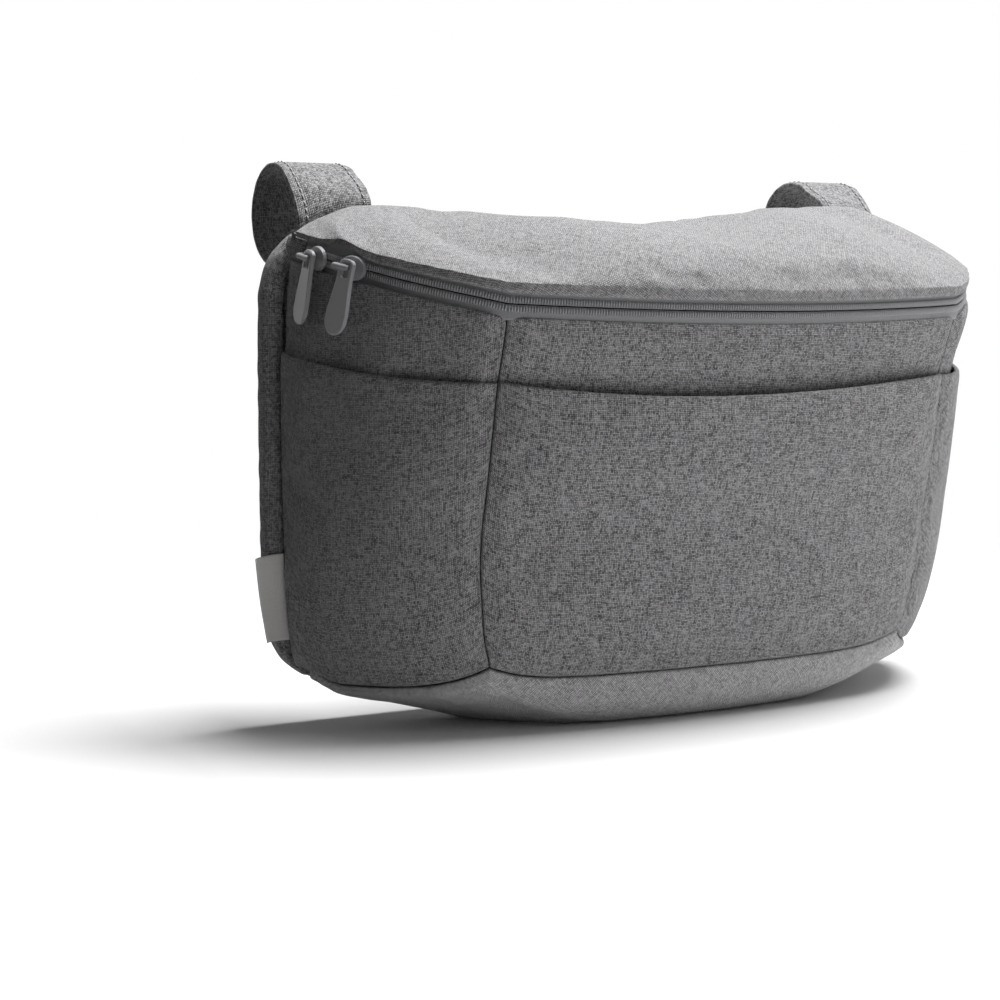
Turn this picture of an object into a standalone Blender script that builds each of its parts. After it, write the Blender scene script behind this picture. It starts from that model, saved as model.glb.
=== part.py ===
"""Stroller organizer: a soft box bag with a zipped lid, hung by two strap loops on its back.

Front faces -Y, the back panel is upright at +Y, +Z is up.  Sizes are in millimetres until to_metres().
Every wall follows one plan outline: wall(a, z) runs from the back seam (a = -2) round the front
(a = -1 .. 1) to the other back seam (a = 2).
"""
import bpy
import bmesh
import math
import numpy as np
from mathutils import Matrix, Vector

MM = 0.001
GAP = 0.35                      # space left between pieces that touch
Y_CENTRE = 47.0                 # depth position that becomes the origin

# body outline
SEAM_Z = [16.0, 27.3, 39.0, 52.0, 66.0, 82.0, 96.0, 118.0, 138.0, 146.0, 161.8, 175.0]
SEAM_X = [100.5, 101.5, 105.0, 107.0, 108.5, 109.0, 109.0, 108.8, 108.5, 108.7, 109.4, 110.0]
SEAM_Y = [22.5, 20.5, 18.0, 16.0, 14.5, 12.0, 8.5, 4.0, 0.0, -3.0, -8.5, -10.0]
BACK_Z = [14.0, 22.0, 30.0, 45.0, 75.0, 150.0, 170.0, 180.0, 190.0, 200.0]
BACK_X = [151.0, 154.0, 157.0, 159.0, 160.0, 160.0, 159.0, 158.0, 156.5, 154.5]
BACK_Y = 83.4
FRONT_BULGE = 14.0
RIGHT_SHOULDER = 5.5            # the lid's right shoulder stands a little higher
SIDE_BULGE_Z = [16.0, 60.0, 130.0, 165.0]
SIDE_BULGE = [5.0, 8.3, 9.8, 12.5]
PANEL_T = 3.5
SEAM_DIP = 1.3
POCKET_T = 2.0
LINING_T = 0.8
LID_T = 4.5

# back panel and binding
BACK_T = 9.0
BACK_FRONT_Y = BACK_Y + 1.0
BINDING_W = 9.0

# zip
ZIP_FRONT_Z = 163.8
ZIP_CORNER_RISE = 3.0
ZIP_SIDE_RISE = 24.0
ZIP_HALF_BAND = 4.8
COIL_H = 2.9
COIL_T = 1.5
TAPE_T = 0.8
ZIP_END = 1.86                  # the zip stops short of the back seam
FRONT_SLIDER_A = -1.58
REAR_SLIDER_A = -1.755

# strap loops
LOOP_D = 35.0
LOOP_Y = 115.5
LOOP_Z = 205.0
STRAP_X = 132.0
STRAP_W = 32.0
STRAP_T = 3.0
STRAP_R = LOOP_D / 2 + 0.8 + STRAP_T / 2
STRAP_TAIL_Z = 140.0
PATCH_T = 1.0
PATCH_H = 30.0


def clear_scene():
    """Remove what the start file holds."""
    for obj in list(bpy.data.objects):
        bpy.data.objects.remove(obj, do_unlink=True)


def material(name, rgb, rough=0.8, metal=0.0):
    """One plain Principled material."""
    mat = bpy.data.materials.new(name)
    mat.use_nodes = True
    bsdf = mat.node_tree.nodes["Principled BSDF"]
    bsdf.inputs["Base Color"].default_value = (rgb[0], rgb[1], rgb[2], 1.0)
    bsdf.inputs["Roughness"].default_value = rough
    bsdf.inputs["Metallic"].default_value = metal
    mat.diffuse_color = (rgb[0], rgb[1], rgb[2], 1.0)
    return mat


def to_metres(x, y, z):
    """Millimetres of the bag's own frame to the scene's metres."""
    return Vector((float(x) * MM, (float(y) - Y_CENTRE) * MM, float(z) * MM))


def smooth(t):
    """Soft step from 0 to 1."""
    t = min(max(t, 0.0), 1.0)
    return t * t * (3 - 2 * t)


def plan(a, z):
    """Plan point of the outer skin at height z, before any offset."""
    half = np.interp(z, SEAM_Z, SEAM_X)
    front = np.interp(z, SEAM_Z, SEAM_Y)
    back = np.interp(z, BACK_Z, BACK_X)
    low = smooth((z - 14.0) / 60.0)
    t = min(abs(a), 1.0)
    s = max(abs(a) - 1.0, 0.0)
    if s == 0.0:
        x = half * t
        y = front - FRONT_BULGE * (0.8 + 0.2 * low) * (1 - t * t)
    else:
        dx = back - half
        dy = BACK_Y - front
        length = math.hypot(dx, dy)
        puff = np.interp(z, SIDE_BULGE_Z, SIDE_BULGE) * 4 * s * (1 - s)
        x = half + dx * s + puff * dy / length
        y = front + dy * s - puff * dx / length
    return np.array([math.copysign(x, a), y])


def wall(a, z, out=0.0):
    """Plan point moved outwards by out along the outline's own normal."""
    step = 0.03
    lo = plan(max(a - step, -2.0), z)
    hi = plan(min(a + step, 2.0), z)
    tangent = (hi - lo) / np.linalg.norm(hi - lo)
    normal = np.array([tangent[1], -tangent[0]])
    return plan(a, z) + out * normal


def zip_z(a):
    """Height of the zip's centre line."""
    t = min(abs(a), 1.0)
    s = max(abs(a) - 1.0, 0.0)
    return ZIP_FRONT_Z + ZIP_CORNER_RISE * t * t + ZIP_SIDE_RISE * s


def bottom_seam_z(a):
    """Height of the seam between the walls and the base."""
    t = min(abs(a), 1.0)
    s = max(abs(a) - 1.0, 0.0)
    if s > 0:
        return 18.0 + 9.5 * (1 - s) ** 5 + 6.0 * smooth((s - 0.75) / 0.25)
    return 21.5 + 6.0 * t ** 8


def back_top(x):
    """Top edge of the back, where the lid is sewn on: shoulders over the straps, a sag between."""
    xs = [0, 60, 95, 116, 128, 137, 145, 151, 156, 160, 166]
    zs = [202.5, 204.4, 206.6, 207.8, 207.0, 204.6, 200.8, 197.0, 193.0, 188.0, 176.0]
    high = RIGHT_SHOULDER * smooth(x / 90.0) * (1 - smooth((x - 122.0) / 22.0))
    return float(np.interp(abs(x), xs, zs)) + high


def slider_wave(a):
    """Small in-and-out wave of the zip under the front slider, which turns the slider to the front."""
    run = (a - FRONT_SLIDER_A) * 108.0 / 8.0
    return -1.9 * run * math.exp(-0.5 * run * run)


def front_mouth_z(a):
    """Slack upper edge of the front pocket."""
    return 131.6 + 6.4 * a * a + 2.4 * a * (1 - a * a)


def side_mouth_z(a):
    """Upper edge of a side pocket, rising to the back."""
    return 137.6 + 12.0 * (abs(a) - 1.0) ** 1.8


def seam_dip(*distances):
    """How far a padded panel draws in beside its seams, from the distances to them."""
    return -SEAM_DIP * (1 - smooth(min(distances) / 8.0))


def seam_distance(u, length):
    """Distance to the nearer of the two upright seams of a panel."""
    return min(u, 1 - u) * length


def grid_lines(count, ease):
    """Grid positions 0..1, closer together at both ends when ease is above 0."""
    t = np.linspace(0, 1, count + 1)
    eased = 0.5 - 0.5 * np.cos(np.pi * t)
    return (1 - ease) * t + ease * eased


def skin(name, shape, nu, nv, mat, thick=0.0, wrap=False, caps="", ease=(0.0, 0.0), inward=None):
    """A grid laid on shape(u, v), closed into a solid by Solidify or by caps."""
    bm = bmesh.new()
    bmesh.ops.create_grid(bm, x_segments=nu, y_segments=nv, size=1.0)
    us = grid_lines(nu, ease[0])
    vs = grid_lines(nv, ease[1])
    for vert in bm.verts:
        iu = int(round((vert.co.x + 1) / 2 * nu))
        iv = int(round((vert.co.y + 1) / 2 * nv))
        vert.co = to_metres(*shape(float(us[iu]), float(vs[iv])))
    if wrap:
        bmesh.ops.remove_doubles(bm, verts=bm.verts, dist=0.00002)
    if caps:
        ends = [e for e in bm.edges if e.is_boundary]
        bmesh.ops.edgeloop_fill(bm, edges=ends)
    bmesh.ops.recalc_face_normals(bm, faces=bm.faces)
    mesh = bpy.data.meshes.new(name)
    bm.to_mesh(mesh)
    bm.free()
    mesh.materials.append(mat)
    obj = bpy.data.objects.new(name, mesh)
    bpy.context.collection.objects.link(obj)
    if inward is not None:
        centre = Vector(to_metres(*inward))
        votes = sum(p.area * (1 if p.normal.dot(p.center - centre) > 0 else -1) for p in mesh.polygons)
        if votes < 0:
            mesh.flip_normals()
    for poly in mesh.polygons:
        poly.use_smooth = True
    if thick > 0:
        solid = obj.modifiers.new("thickness", "SOLIDIFY")
        solid.thickness = thick * MM
        solid.offset = -1.0
        solid.use_even_offset = True
        solid.use_rim = True
    return obj


def side_span(side, u):
    """Outline parameter of a side panel, u = 0 at the front seam and 1 at the back seam."""
    return side * (1.006 + 0.984 * u)


def make_walls(mats):
    """Front panel and side panels between the bottom seam and the zip."""
    def front(u, v):
        a = (2 * u - 1) * 0.994
        low = bottom_seam_z(a) + GAP
        high = zip_z(a) - ZIP_HALF_BAND
        z = low + (high - low) * v
        x, y = wall(a, z, seam_dip(seam_distance(u, 218), z - low, high - z))
        return x, y, z

    skin("front_panel", front, 16, 10, mats["fabric"], PANEL_T, ease=(0.6, 0.6), inward=(0, 60, 90))
    for side, word in ((-1, "left"), (1, "right")):
        def panel(u, v, side=side):
            a = side_span(side, u)
            low = bottom_seam_z(a) + GAP
            high = zip_z(a) - ZIP_HALF_BAND
            z = low + (high - low) * v
            x, y = wall(a, z, seam_dip(seam_distance(u, 108), z - low, high - z))
            return x, y, z
        skin(word + "_side_panel", panel, 9, 9, mats["fabric"], PANEL_T, ease=(0.5, 0.6), inward=(0, 60, 90))


def make_pockets(mats):
    """Second layers over the front and sides, sewn in at three edges, loose at the mouth."""
    def front(u, v):
        a = (2 * u - 1) * 0.994
        low = bottom_seam_z(a) + GAP
        z = low + (front_mouth_z(a) - low) * v
        loose = 5.2 * (1 - a * a) * smooth((v - 0.45) / 0.5)
        tuck = seam_dip(seam_distance(u, 218), z - low)
        x, y = wall(a, z, POCKET_T + 2 * GAP + loose + tuck + 0.6 * (1 - a ** 8))
        return x, y, z

    skin("front_pocket", front, 16, 9, mats["fabric"], POCKET_T, ease=(0.6, 0.5), inward=(0, 60, 90))
    for side, word in ((-1, "left"), (1, "right")):
        def pocket(u, v, side=side):
            a = side_span(side, u)
            low = bottom_seam_z(a) + GAP
            z = low + (side_mouth_z(a) - low) * v
            loose = 2.2 * 4 * u * (1 - u) * smooth((v - 0.5) / 0.45)
            tuck = seam_dip(seam_distance(u, 108), z - low)
            x, y = wall(a, z, POCKET_T + 2 * GAP + loose + tuck)
            return x, y, z
        skin(word + "_side_pocket", pocket, 9, 8, mats["fabric"], POCKET_T, ease=(0.5, 0.5), inward=(0, 60, 90))


def loop_point(u, z_of, out, dip=8.0):
    """Point on the bag's closed plan loop: round the walls, then back along the back seam, which dips."""
    u = u % 1.0
    if u < 0.8:
        a = -2 + 4 * u / 0.8
        z = z_of(a)
        x, y = wall(a, z, out)
        return x, min(y, BACK_Y + min(out, 0)), z
    t = (u - 0.8) / 0.2
    z = z_of(2.0)
    x, y = wall(2.0, z, out)
    return x * (1 - 2 * t), BACK_Y + min(out, 0), z - dip * smooth(min(t, 1 - t) / 0.15)


def base_profile(v, x):
    """Inward reach and remaining height, 0..1: an upright lip, round at the front, straight at the ends."""
    lip = 0.16
    if v < lip:
        return 0.0, 1 - 0.16 * v / lip
    swing = (v - lip) / (1 - lip) * math.pi / 2
    reach = 1 - math.cos(swing)
    ends = smooth((abs(x) - 60.0) / 70.0)
    return reach, 0.84 * ((1 - ends) * (1 - math.sin(swing)) + ends * (1 - reach))


def base_shape(u, v, out, lift):
    """From the seam loop down and in to the flat that the bag stands on."""
    x, y, z = loop_point(u, bottom_seam_z, out)
    reach, drop = base_profile(v, x)
    fx = x * 0.60
    fy = Y_CENTRE + (y - Y_CENTRE) * 0.60
    z = z - 3 * GAP
    return x + (fx - x) * reach, y + (fy - y) * reach, lift + (z - lift) * drop


def make_base_and_lining(mats):
    """Base panel turned up round its edge, and the lining tub, held at the front panel's top edge."""
    base = skin("base_panel", lambda u, v: base_shape(u, v, 0.0, 0.0), 40, 6, mats["fabric_base"],
                wrap=True, caps="end", inward=(0, Y_CENTRE, 60))
    close_tub(base, PANEL_T)

    inset = -(PANEL_T + SEAM_DIP + 6 * GAP)

    def tub(u, v):
        if v < 0.5:
            rise = 1 - v / 0.5

            def level(a):
                low = bottom_seam_z(a) + PANEL_T + 3.0
                high = zip_z(a) - ZIP_HALF_BAND - 1.0
                return low + (high - low) * rise
            a = -2 + 5 * (u % 1.0)
            snug = 5 * GAP * max(1 - a ** 6, 0.0) * smooth((rise - 0.7) / 0.3)
            x, y, z = loop_point(u, level, inset + snug, 8.0 - 6.0 * rise)
            return x * 0.975, y, z
        swing = (v - 0.5) / 0.5
        x, y, z = loop_point(u, lambda a: bottom_seam_z(a) + PANEL_T + 3.0, inset)
        reach, drop = base_profile(swing, x)
        fy = Y_CENTRE + (y - Y_CENTRE) * 0.60
        lift = PANEL_T + 4 * GAP + 3.0 * smooth((abs(x) - 60) / 60)
        x *= 0.975
        return x + (x * 0.60 - x) * reach, y + (fy - y) * reach, lift + (z - lift) * drop

    lining = skin("lining", tub, 40, 6, mats["lining"], wrap=True, caps="end", inward=(0, Y_CENTRE, 100))
    close_tub(lining, LINING_T)


def close_tub(obj, thick):
    """Keep only the floor cap of a wrapped grid, then give it thickness."""
    bm = bmesh.new()
    bm.from_mesh(obj.data)
    big = [f for f in bm.faces if len(f.verts) > 4]
    top = max(big, key=lambda f: f.calc_center_median().z)
    if len(big) > 1:
        bmesh.ops.delete(bm, geom=[top], context="FACES_ONLY")
    bmesh.ops.recalc_face_normals(bm, faces=bm.faces)
    floor = max((f for f in bm.faces), key=lambda f: f.calc_area())
    if floor.normal.z > 0:
        bmesh.ops.reverse_faces(bm, faces=bm.faces)
    bm.to_mesh(obj.data)
    bm.free()
    solid = obj.modifiers.new("thickness", "SOLIDIFY")
    solid.thickness = thick * MM
    solid.offset = -1.0
    solid.use_even_offset = False
    solid.use_rim = True


def make_lid(mats):
    """Padded lid: rolled lower edge over the zip, domed up to the back seam."""
    end = 1.93

    def lid(u, v):
        a = (2 * u - 1) * end
        z0 = zip_z(a) + ZIP_HALF_BAND + 0.3
        x0, y0 = wall(a, z0, 0.5)
        s = max(abs(a) - 1.0, 0.0) / (end - 1)
        xk = math.copysign(112.0 * min(abs(a), 1.0) + 42.0 * s, a)
        zk = back_top(xk)
        z0 += 2.4 * (1 - 0.4 * s) * min(v / 0.1, 1.0)
        t = max((v - 0.1) / 0.9, 0.0) ** 1.1
        corner = smooth((abs(a) - 0.45) / 0.6) - 0.35 * s
        run = t ** (1.45 - 0.45 * corner)
        rise = 1 - (1 - t) ** (1.75 - 0.75 * corner)
        dome = 2.0 * math.sin(math.pi * run) * (1 - s)
        return x0 + (xk - x0) * run, y0 + (BACK_Y - 3 * GAP - y0) * run, z0 + (zk - z0) * rise + dome

    panel = skin("lid_panel", lid, 26, 10, mats["fabric_lid"], LID_T, inward=(0, 50, 60))
    panel.modifiers["thickness"].use_even_offset = False


def rounded_outline():
    """Outline of the padded back, half width by height, from the bottom centre to the top centre."""
    pts = [(0, 14.0), (60, 14.5), (110, 15.0), (135, 16.5), (149, 19.5), (157, 25.5), (162, 34.0)]
    pts += [(164.6, 46.0), (165.5, 62.0), (165.8, 90.0), (165.8, 130.0), (165.4, 160.0), (164.4, 176.0)]
    pts += [(161.3, 185.0), (156.5, 191.4), (150.0, 196.6), (143.0, 201.2)]
    pts += [(136.0, back_top(136) - 0.6), (128.0, back_top(128) - 0.6), (116.0, back_top(116) - 0.6)]
    pts += [(95.0, back_top(95) - 0.6), (60.0, back_top(60) - 0.6), (0.0, back_top(0) - 0.6)]
    return pts


def binding_path():
    """Outer edge of a binding: the part of the back's outline round its side."""
    return [p for p in rounded_outline() if p[0] > 145.0 and p[1] < 200.0]


def inward_normals(path):
    """Unit normals pointing into the back, one for each point of a path that runs upwards."""
    pts = np.array(path, dtype=float)
    tangent = np.gradient(pts, axis=0)
    tangent /= np.linalg.norm(tangent, axis=1)[:, None]
    return tangent, np.stack([-tangent[:, 1], tangent[:, 0]], axis=1)


def make_back(mats):
    """Padded back panel and the two bindings round its sides."""
    path = np.array(binding_path())
    tangent, normal = inward_normals(path)
    deep = path + normal * (BINDING_W + 3 * GAP)
    start = path[0] - tangent[0] * 2 * GAP
    stop = path[-1] + tangent[-1] * 2 * GAP
    outline = rounded_outline()
    inner = [p for p in outline if p[1] < 40 and p[0] < 145]
    inner += [tuple(start), tuple(start + normal[0] * (BINDING_W + 3 * GAP))]
    inner += [tuple(p) for p in deep[1:-1]]
    inner += [tuple(stop + normal[-1] * (BINDING_W + 3 * GAP)), tuple(stop)]
    inner += [p for p in outline if p[1] > 200]
    ring = [(x, z) for x, z in inner]
    for x, z in inner[-2:0:-1]:
        level = back_top(-x) - 0.6 if z > 200 and x < 140 else z
        ring.append((-x, level))
    bm = bmesh.new()
    verts = [bm.verts.new(to_metres(x, BACK_FRONT_Y, z)) for x, z in ring]
    face = bm.faces.new(verts)
    moved = bmesh.ops.extrude_face_region(bm, geom=[face])
    back_verts = [g for g in moved["geom"] if isinstance(g, bmesh.types.BMVert)]
    bmesh.ops.translate(bm, verts=back_verts, vec=Vector((0, BACK_T * MM, 0)))
    bmesh.ops.recalc_face_normals(bm, faces=bm.faces)
    mesh = bpy.data.meshes.new("back_panel")
    bm.to_mesh(mesh)
    bm.free()
    mesh.materials.append(mats["fabric"])
    back = bpy.data.objects.new("back_panel", mesh)
    bpy.context.collection.objects.link(back)
    bevel = back.modifiers.new("soft edge", "BEVEL")
    bevel.width = 2.6 * MM
    bevel.segments = 2
    bevel.limit_method = "ANGLE"
    bevel.angle_limit = math.radians(50)
    for poly in mesh.polygons:
        poly.use_smooth = True

    xs = path[:, 0]
    zs = path[:, 1]
    run = np.concatenate([[0], np.cumsum(np.hypot(np.diff(xs), np.diff(zs)))])
    for side, word in ((-1, "left"), (1, "right")):
        def strip(u, v, side=side):
            r = v * run[-1]
            px = np.interp(r, run, xs)
            pz = np.interp(r, run, zs)
            ix = np.interp(r, run, normal[:, 0])
            iz = np.interp(r, run, normal[:, 1])
            ang = 2 * math.pi * u
            c, s = math.cos(ang), math.sin(ang)
            w = math.copysign(abs(c) ** 0.55, c) * BINDING_W / 2
            d = math.copysign(abs(s) ** 0.55, s) * (BACK_T + 0.4) / 2
            mid = BINDING_W / 2
            x = px + ix * (mid + w)
            z = pz + iz * (mid + w)
            return side * x, BACK_FRONT_Y + BACK_T / 2 + 0.2 + d, z
        skin(word + "_back_binding", strip, 10, 18, mats["fabric_twill"], wrap=True, caps="both")


def make_zip(mats):
    """Two tapes, two coils and the fabric patches that close the zip's ends."""
    def band(lo, hi, out):
        def shape(u, v):
            a = (2 * u - 1) * ZIP_END
            z = zip_z(a)
            x, y = wall(a, z, out + slider_wave(a))
            return x, y, z + lo + (hi - lo) * v
        return shape

    top = ZIP_HALF_BAND - 0.7
    skin("zip_tape_lower", band(-ZIP_HALF_BAND + GAP, -0.45, -1.5), 60, 1, mats["tape"], TAPE_T, inward=(0, 60, 170))
    skin("zip_tape_upper", band(0.45, top, -1.5), 60, 1, mats["tape"], TAPE_T, inward=(0, 60, 170))
    skin("zip_coil_lower", band(-0.4 - COIL_H, -0.4, 0.35), 60, 1, mats["coil"], COIL_T, inward=(0, 60, 170))
    skin("zip_coil_upper", band(0.4, 0.4 + COIL_H, 0.35), 60, 1, mats["coil"], COIL_T, inward=(0, 60, 170))
    for side, word in ((-1, "left"), (1, "right")):
        def patch(u, v, side=side):
            a = side * (ZIP_END + 0.008 + (1.985 - ZIP_END) * u)
            z = zip_z(a)
            puff = 0.9 * math.sin(math.pi * v)
            x, y = wall(a, z, -1.0 + puff)
            return x, y, z - ZIP_HALF_BAND + GAP + (2 * ZIP_HALF_BAND - 3.7) * v
        skin(word + "_zip_end_patch", patch, 3, 4, mats["fabric_twill"], 1.6, inward=(0, 60, 170))


def slider_frame(a):
    """Matrix with X along the zip towards the front, Y up across it, Z outwards; origin on the outline."""
    def point(b):
        z = zip_z(b)
        x, y = wall(b, z, slider_wave(b))
        return np.array([x, y, z])
    along = point(a + 0.02) - point(a - 0.02)
    along = along / np.linalg.norm(along)
    out = np.array([along[1], -along[0], 0.0])
    out = out / np.linalg.norm(out)
    up = np.cross(out, along)
    rot = Matrix((along, up, out)).transposed().to_4x4()
    return Matrix.Translation(to_metres(*point(a))) @ rot


def solid_box(bm, size, centre):
    """Add a box to bm, sizes and centre in millimetres."""
    made = bmesh.ops.create_cube(bm, size=1.0)
    scale = Matrix.Diagonal((size[0] * MM, size[1] * MM, size[2] * MM, 1.0))
    bmesh.ops.transform(bm, matrix=Matrix.Translation(Vector(centre) * MM) @ scale, verts=made["verts"])


def place(name, bm, matrix, mat=None, cutter=False):
    """Object from bm at matrix; helpers for booleans are hidden and drawn as wire."""
    mesh = bpy.data.meshes.new(name)
    bm.to_mesh(mesh)
    bm.free()
    obj = bpy.data.objects.new(name, mesh)
    bpy.context.collection.objects.link(obj)
    obj.matrix_world = matrix
    if mat:
        mesh.materials.append(mat)
    if cutter:
        obj.hide_render = True
        obj.display_type = "WIRE"
    return obj


def unite(obj, helper):
    """Boolean union of a helper into obj."""
    mod = obj.modifiers.new(helper.name, "BOOLEAN")
    mod.operation = "UNION"
    mod.solver = "EXACT"
    mod.object = helper


PLATE_TOP = 2.2                 # outer face of the slider's outer plate above the outline
BAR_UP = 4.6                    # hinge bar above the plate
BAR_R = 1.1


def make_slider(word, a, mats):
    """Two plates joined by a thin wedge between the coils, with a hook-shaped bar for the pull."""
    matrix = slider_frame(a)
    bm = bmesh.new()
    made = bmesh.ops.create_cone(bm, cap_ends=True, segments=24, radius1=5.2 * MM, radius2=4.7 * MM, depth=1.3 * MM)
    lift = Matrix.Translation(Vector((0, 0, PLATE_TOP - 0.65)) * MM) @ Matrix.Diagonal((1.12, 0.92, 1.0, 1.0))
    bmesh.ops.transform(bm, matrix=lift, verts=made["verts"])
    body = place("zip_slider_" + word, bm, matrix, mats["metal"])

    bm = bmesh.new()
    made = bmesh.ops.create_cone(bm, cap_ends=True, segments=20, radius1=4.5 * MM, radius2=4.5 * MM, depth=1.0 * MM)
    lift = Matrix.Translation(Vector((0, 0, -3.95)) * MM) @ Matrix.Diagonal((1.0, 0.7, 1.0, 1.0))
    bmesh.ops.transform(bm, matrix=lift, verts=made["verts"])
    unite(body, place("slider_inner_plate_" + word, bm, matrix, cutter=True))

    bm = bmesh.new()
    solid_box(bm, (4.0, 0.36, 6.1), (-1.0, 0.0, -1.15))
    unite(body, place("slider_wedge_" + word, bm, matrix, cutter=True))

    bm = bmesh.new()
    solid_box(bm, (1.1, 2.1, BAR_UP + 0.6), (-5.2, 0.0, PLATE_TOP + BAR_UP / 2 - 0.35))
    unite(body, place("slider_post_" + word, bm, matrix, cutter=True))

    bm = bmesh.new()
    made = bmesh.ops.create_cone(bm, cap_ends=True, segments=16, radius1=BAR_R * MM, radius2=BAR_R * MM, depth=7.3 * MM)
    lay = Matrix.Translation(Vector((-2.15, 0, PLATE_TOP + BAR_UP)) * MM) @ Matrix.Rotation(math.pi / 2, 4, "Y")
    bmesh.ops.transform(bm, matrix=lay, verts=made["verts"])
    caps = [e for e in bm.edges if len(e.link_faces) == 2 and max(len(f.verts) for f in e.link_faces) > 8]
    bmesh.ops.bevel(bm, geom=caps, offset=0.6 * MM, segments=2, affect="EDGES", profile=0.5)
    unite(body, place("slider_bar_" + word, bm, matrix, cutter=True))
    return body


def make_pull(word, a, twist, behind, mats):
    """Flat pull tab: a ring round the bar, then a blade that widens to a round end."""
    hinge = slider_frame(a) @ Matrix.Translation(Vector((0, 0, PLATE_TOP + BAR_UP)) * MM)
    outer = []
    top = 3.4
    for k in range(7):
        ang = math.radians(0 + 180 * k / 6)
        outer.append((4.2 * math.cos(ang), top - 1.6 + 1.6 * math.sin(ang)))
    for z, half in ((-1.0, 4.2), (-5.0, 4.35), (-9.0, 4.8), (-13.0, 5.45), (-17.0, 5.95)):
        outer.append((-half, z))
    for k in range(1, 12):
        ang = math.radians(180 + 180 * k / 12)
        outer.append((6.15 * math.cos(ang), -19.5 + 6.15 * math.sin(ang)))
    for z, half in ((-17.0, 5.95), (-13.0, 5.45), (-9.0, 4.8), (-5.0, 4.35), (-1.0, 4.2)):
        outer.append((half, z))
    window = []
    count = len(outer)
    for px, pz in outer:
        ang = math.atan2(pz + 1.1, px)
        c, s = math.cos(ang), math.sin(ang)
        reach = min(2.6 / max(abs(c), 1e-6), 2.75 / max(abs(s), 1e-6))
        window.append((reach * c, -1.1 + reach * s))
    bm = bmesh.new()
    turn = Matrix.Rotation(math.radians(twist), 4, "Y")
    tilt = Matrix.Rotation(math.radians(-4.0), 4, "X")
    loops = []
    for pts in (outer, window):
        ring = [bm.verts.new(Vector((px, pz, 0)) * MM) for px, pz in pts]
        loops += [bm.edges.new((ring[i], ring[(i + 1) % count])) for i in range(count)]
    bmesh.ops.bridge_loops(bm, edges=loops)
    bmesh.ops.recalc_face_normals(bm, faces=bm.faces)
    ring_faces = list(bm.faces)
    moved = bmesh.ops.extrude_face_region(bm, geom=ring_faces)
    lifted = [g for g in moved["geom"] if isinstance(g, bmesh.types.BMVert)]
    bmesh.ops.translate(bm, verts=lifted, vec=Vector((0, 0, 1.8 * MM)))
    bmesh.ops.translate(bm, verts=bm.verts, vec=Vector((0, 0, -0.9 * MM)))
    bmesh.ops.recalc_face_normals(bm, faces=bm.faces)
    set_back = Matrix.Translation(Vector((0, 0, -behind)) * MM)
    bmesh.ops.transform(bm, matrix=tilt @ set_back @ turn, verts=bm.verts)
    pull = place("zip_pull_" + word, bm, hinge, mats["metal"])
    bevel = pull.modifiers.new("rounded edge", "BEVEL")
    bevel.width = 0.35 * MM
    bevel.segments = 1
    bevel.limit_method = "ANGLE"
    bevel.angle_limit = math.radians(60)
    return pull


def strap_path():
    """Side view of a strap: up from the back's top edge, round the loop, down the back."""
    pts = [(89.4, 0.0), (90.0, 3.5)]
    for deg in range(128, -91, -14):
        ang = math.radians(deg)
        pts.append((LOOP_Y + STRAP_R * math.cos(ang), LOOP_Z + STRAP_R * math.sin(ang)))
    back = BACK_FRONT_Y + BACK_T + 2 * GAP + 2 * PATCH_T + GAP + STRAP_T / 2
    pts += [(LOOP_Y - 7.0, LOOP_Z - STRAP_R - 0.6), (back + 4.2, LOOP_Z - STRAP_R - 3.6)]
    pts += [(back + 1.0, LOOP_Z - STRAP_R - 8.0), (back, LOOP_Z - STRAP_R - 13.5), (back, STRAP_TAIL_Z)]
    return pts


def make_straps(mats):
    """Strap loops with hook patch and loop patch on the back."""
    pts = strap_path()
    count = len(pts) - 1
    back = BACK_FRONT_Y + BACK_T
    for side, word in ((-1, "left"), (1, "right")):
        def strap(u, v, side=side):
            k = int(round(u * count))
            y, z = pts[k]
            x = side * STRAP_X + (v - 0.5) * STRAP_W
            if k < 2:
                z += max(back_top(x) + 0.5, 201.0)
            return x, y, z
        obj = skin(word + "_strap", strap, count, 3, mats["fabric_twill"], 0)
        solid = obj.modifiers.new("thickness", "SOLIDIFY")
        solid.thickness = STRAP_T * MM
        solid.offset = 0.0
        solid.use_even_offset = True
        for kind, y0 in (("loop", back + GAP), ("hook", back + 2 * GAP + PATCH_T)):
            bm = bmesh.new()
            solid_box(bm, (STRAP_W - 6.0, PATCH_T, PATCH_H), (0, 0, 0))
            z0 = STRAP_TAIL_Z + 2.0 + PATCH_H / 2
            spot = Matrix.Translation(to_metres(side * STRAP_X, y0 + PATCH_T / 2, z0))
            place(word + "_" + kind + "_patch", bm, spot, mats["hook_loop"])


def make_label(mats):
    """Bare woven label folded into the seam between the left side and the binding."""
    def label(u, v):
        z = 35.5 + 33.5 * v
        root = -np.interp(z, BACK_Z, BACK_X) + 0.4
        curl = 1.6 * math.sin(math.pi * u * 0.5) * (1 - v)
        return root - 16.5 * u + curl, BACK_Y + 0.05 - 0.8 * u * u, z + 1.5 * (u - 0.5) * (0.5 - v)

    obj = skin("side_label", label, 4, 4, mats["label"], 0)
    solid = obj.modifiers.new("thickness", "SOLIDIFY")
    solid.thickness = 0.7 * MM
    solid.offset = 0.0


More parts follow.
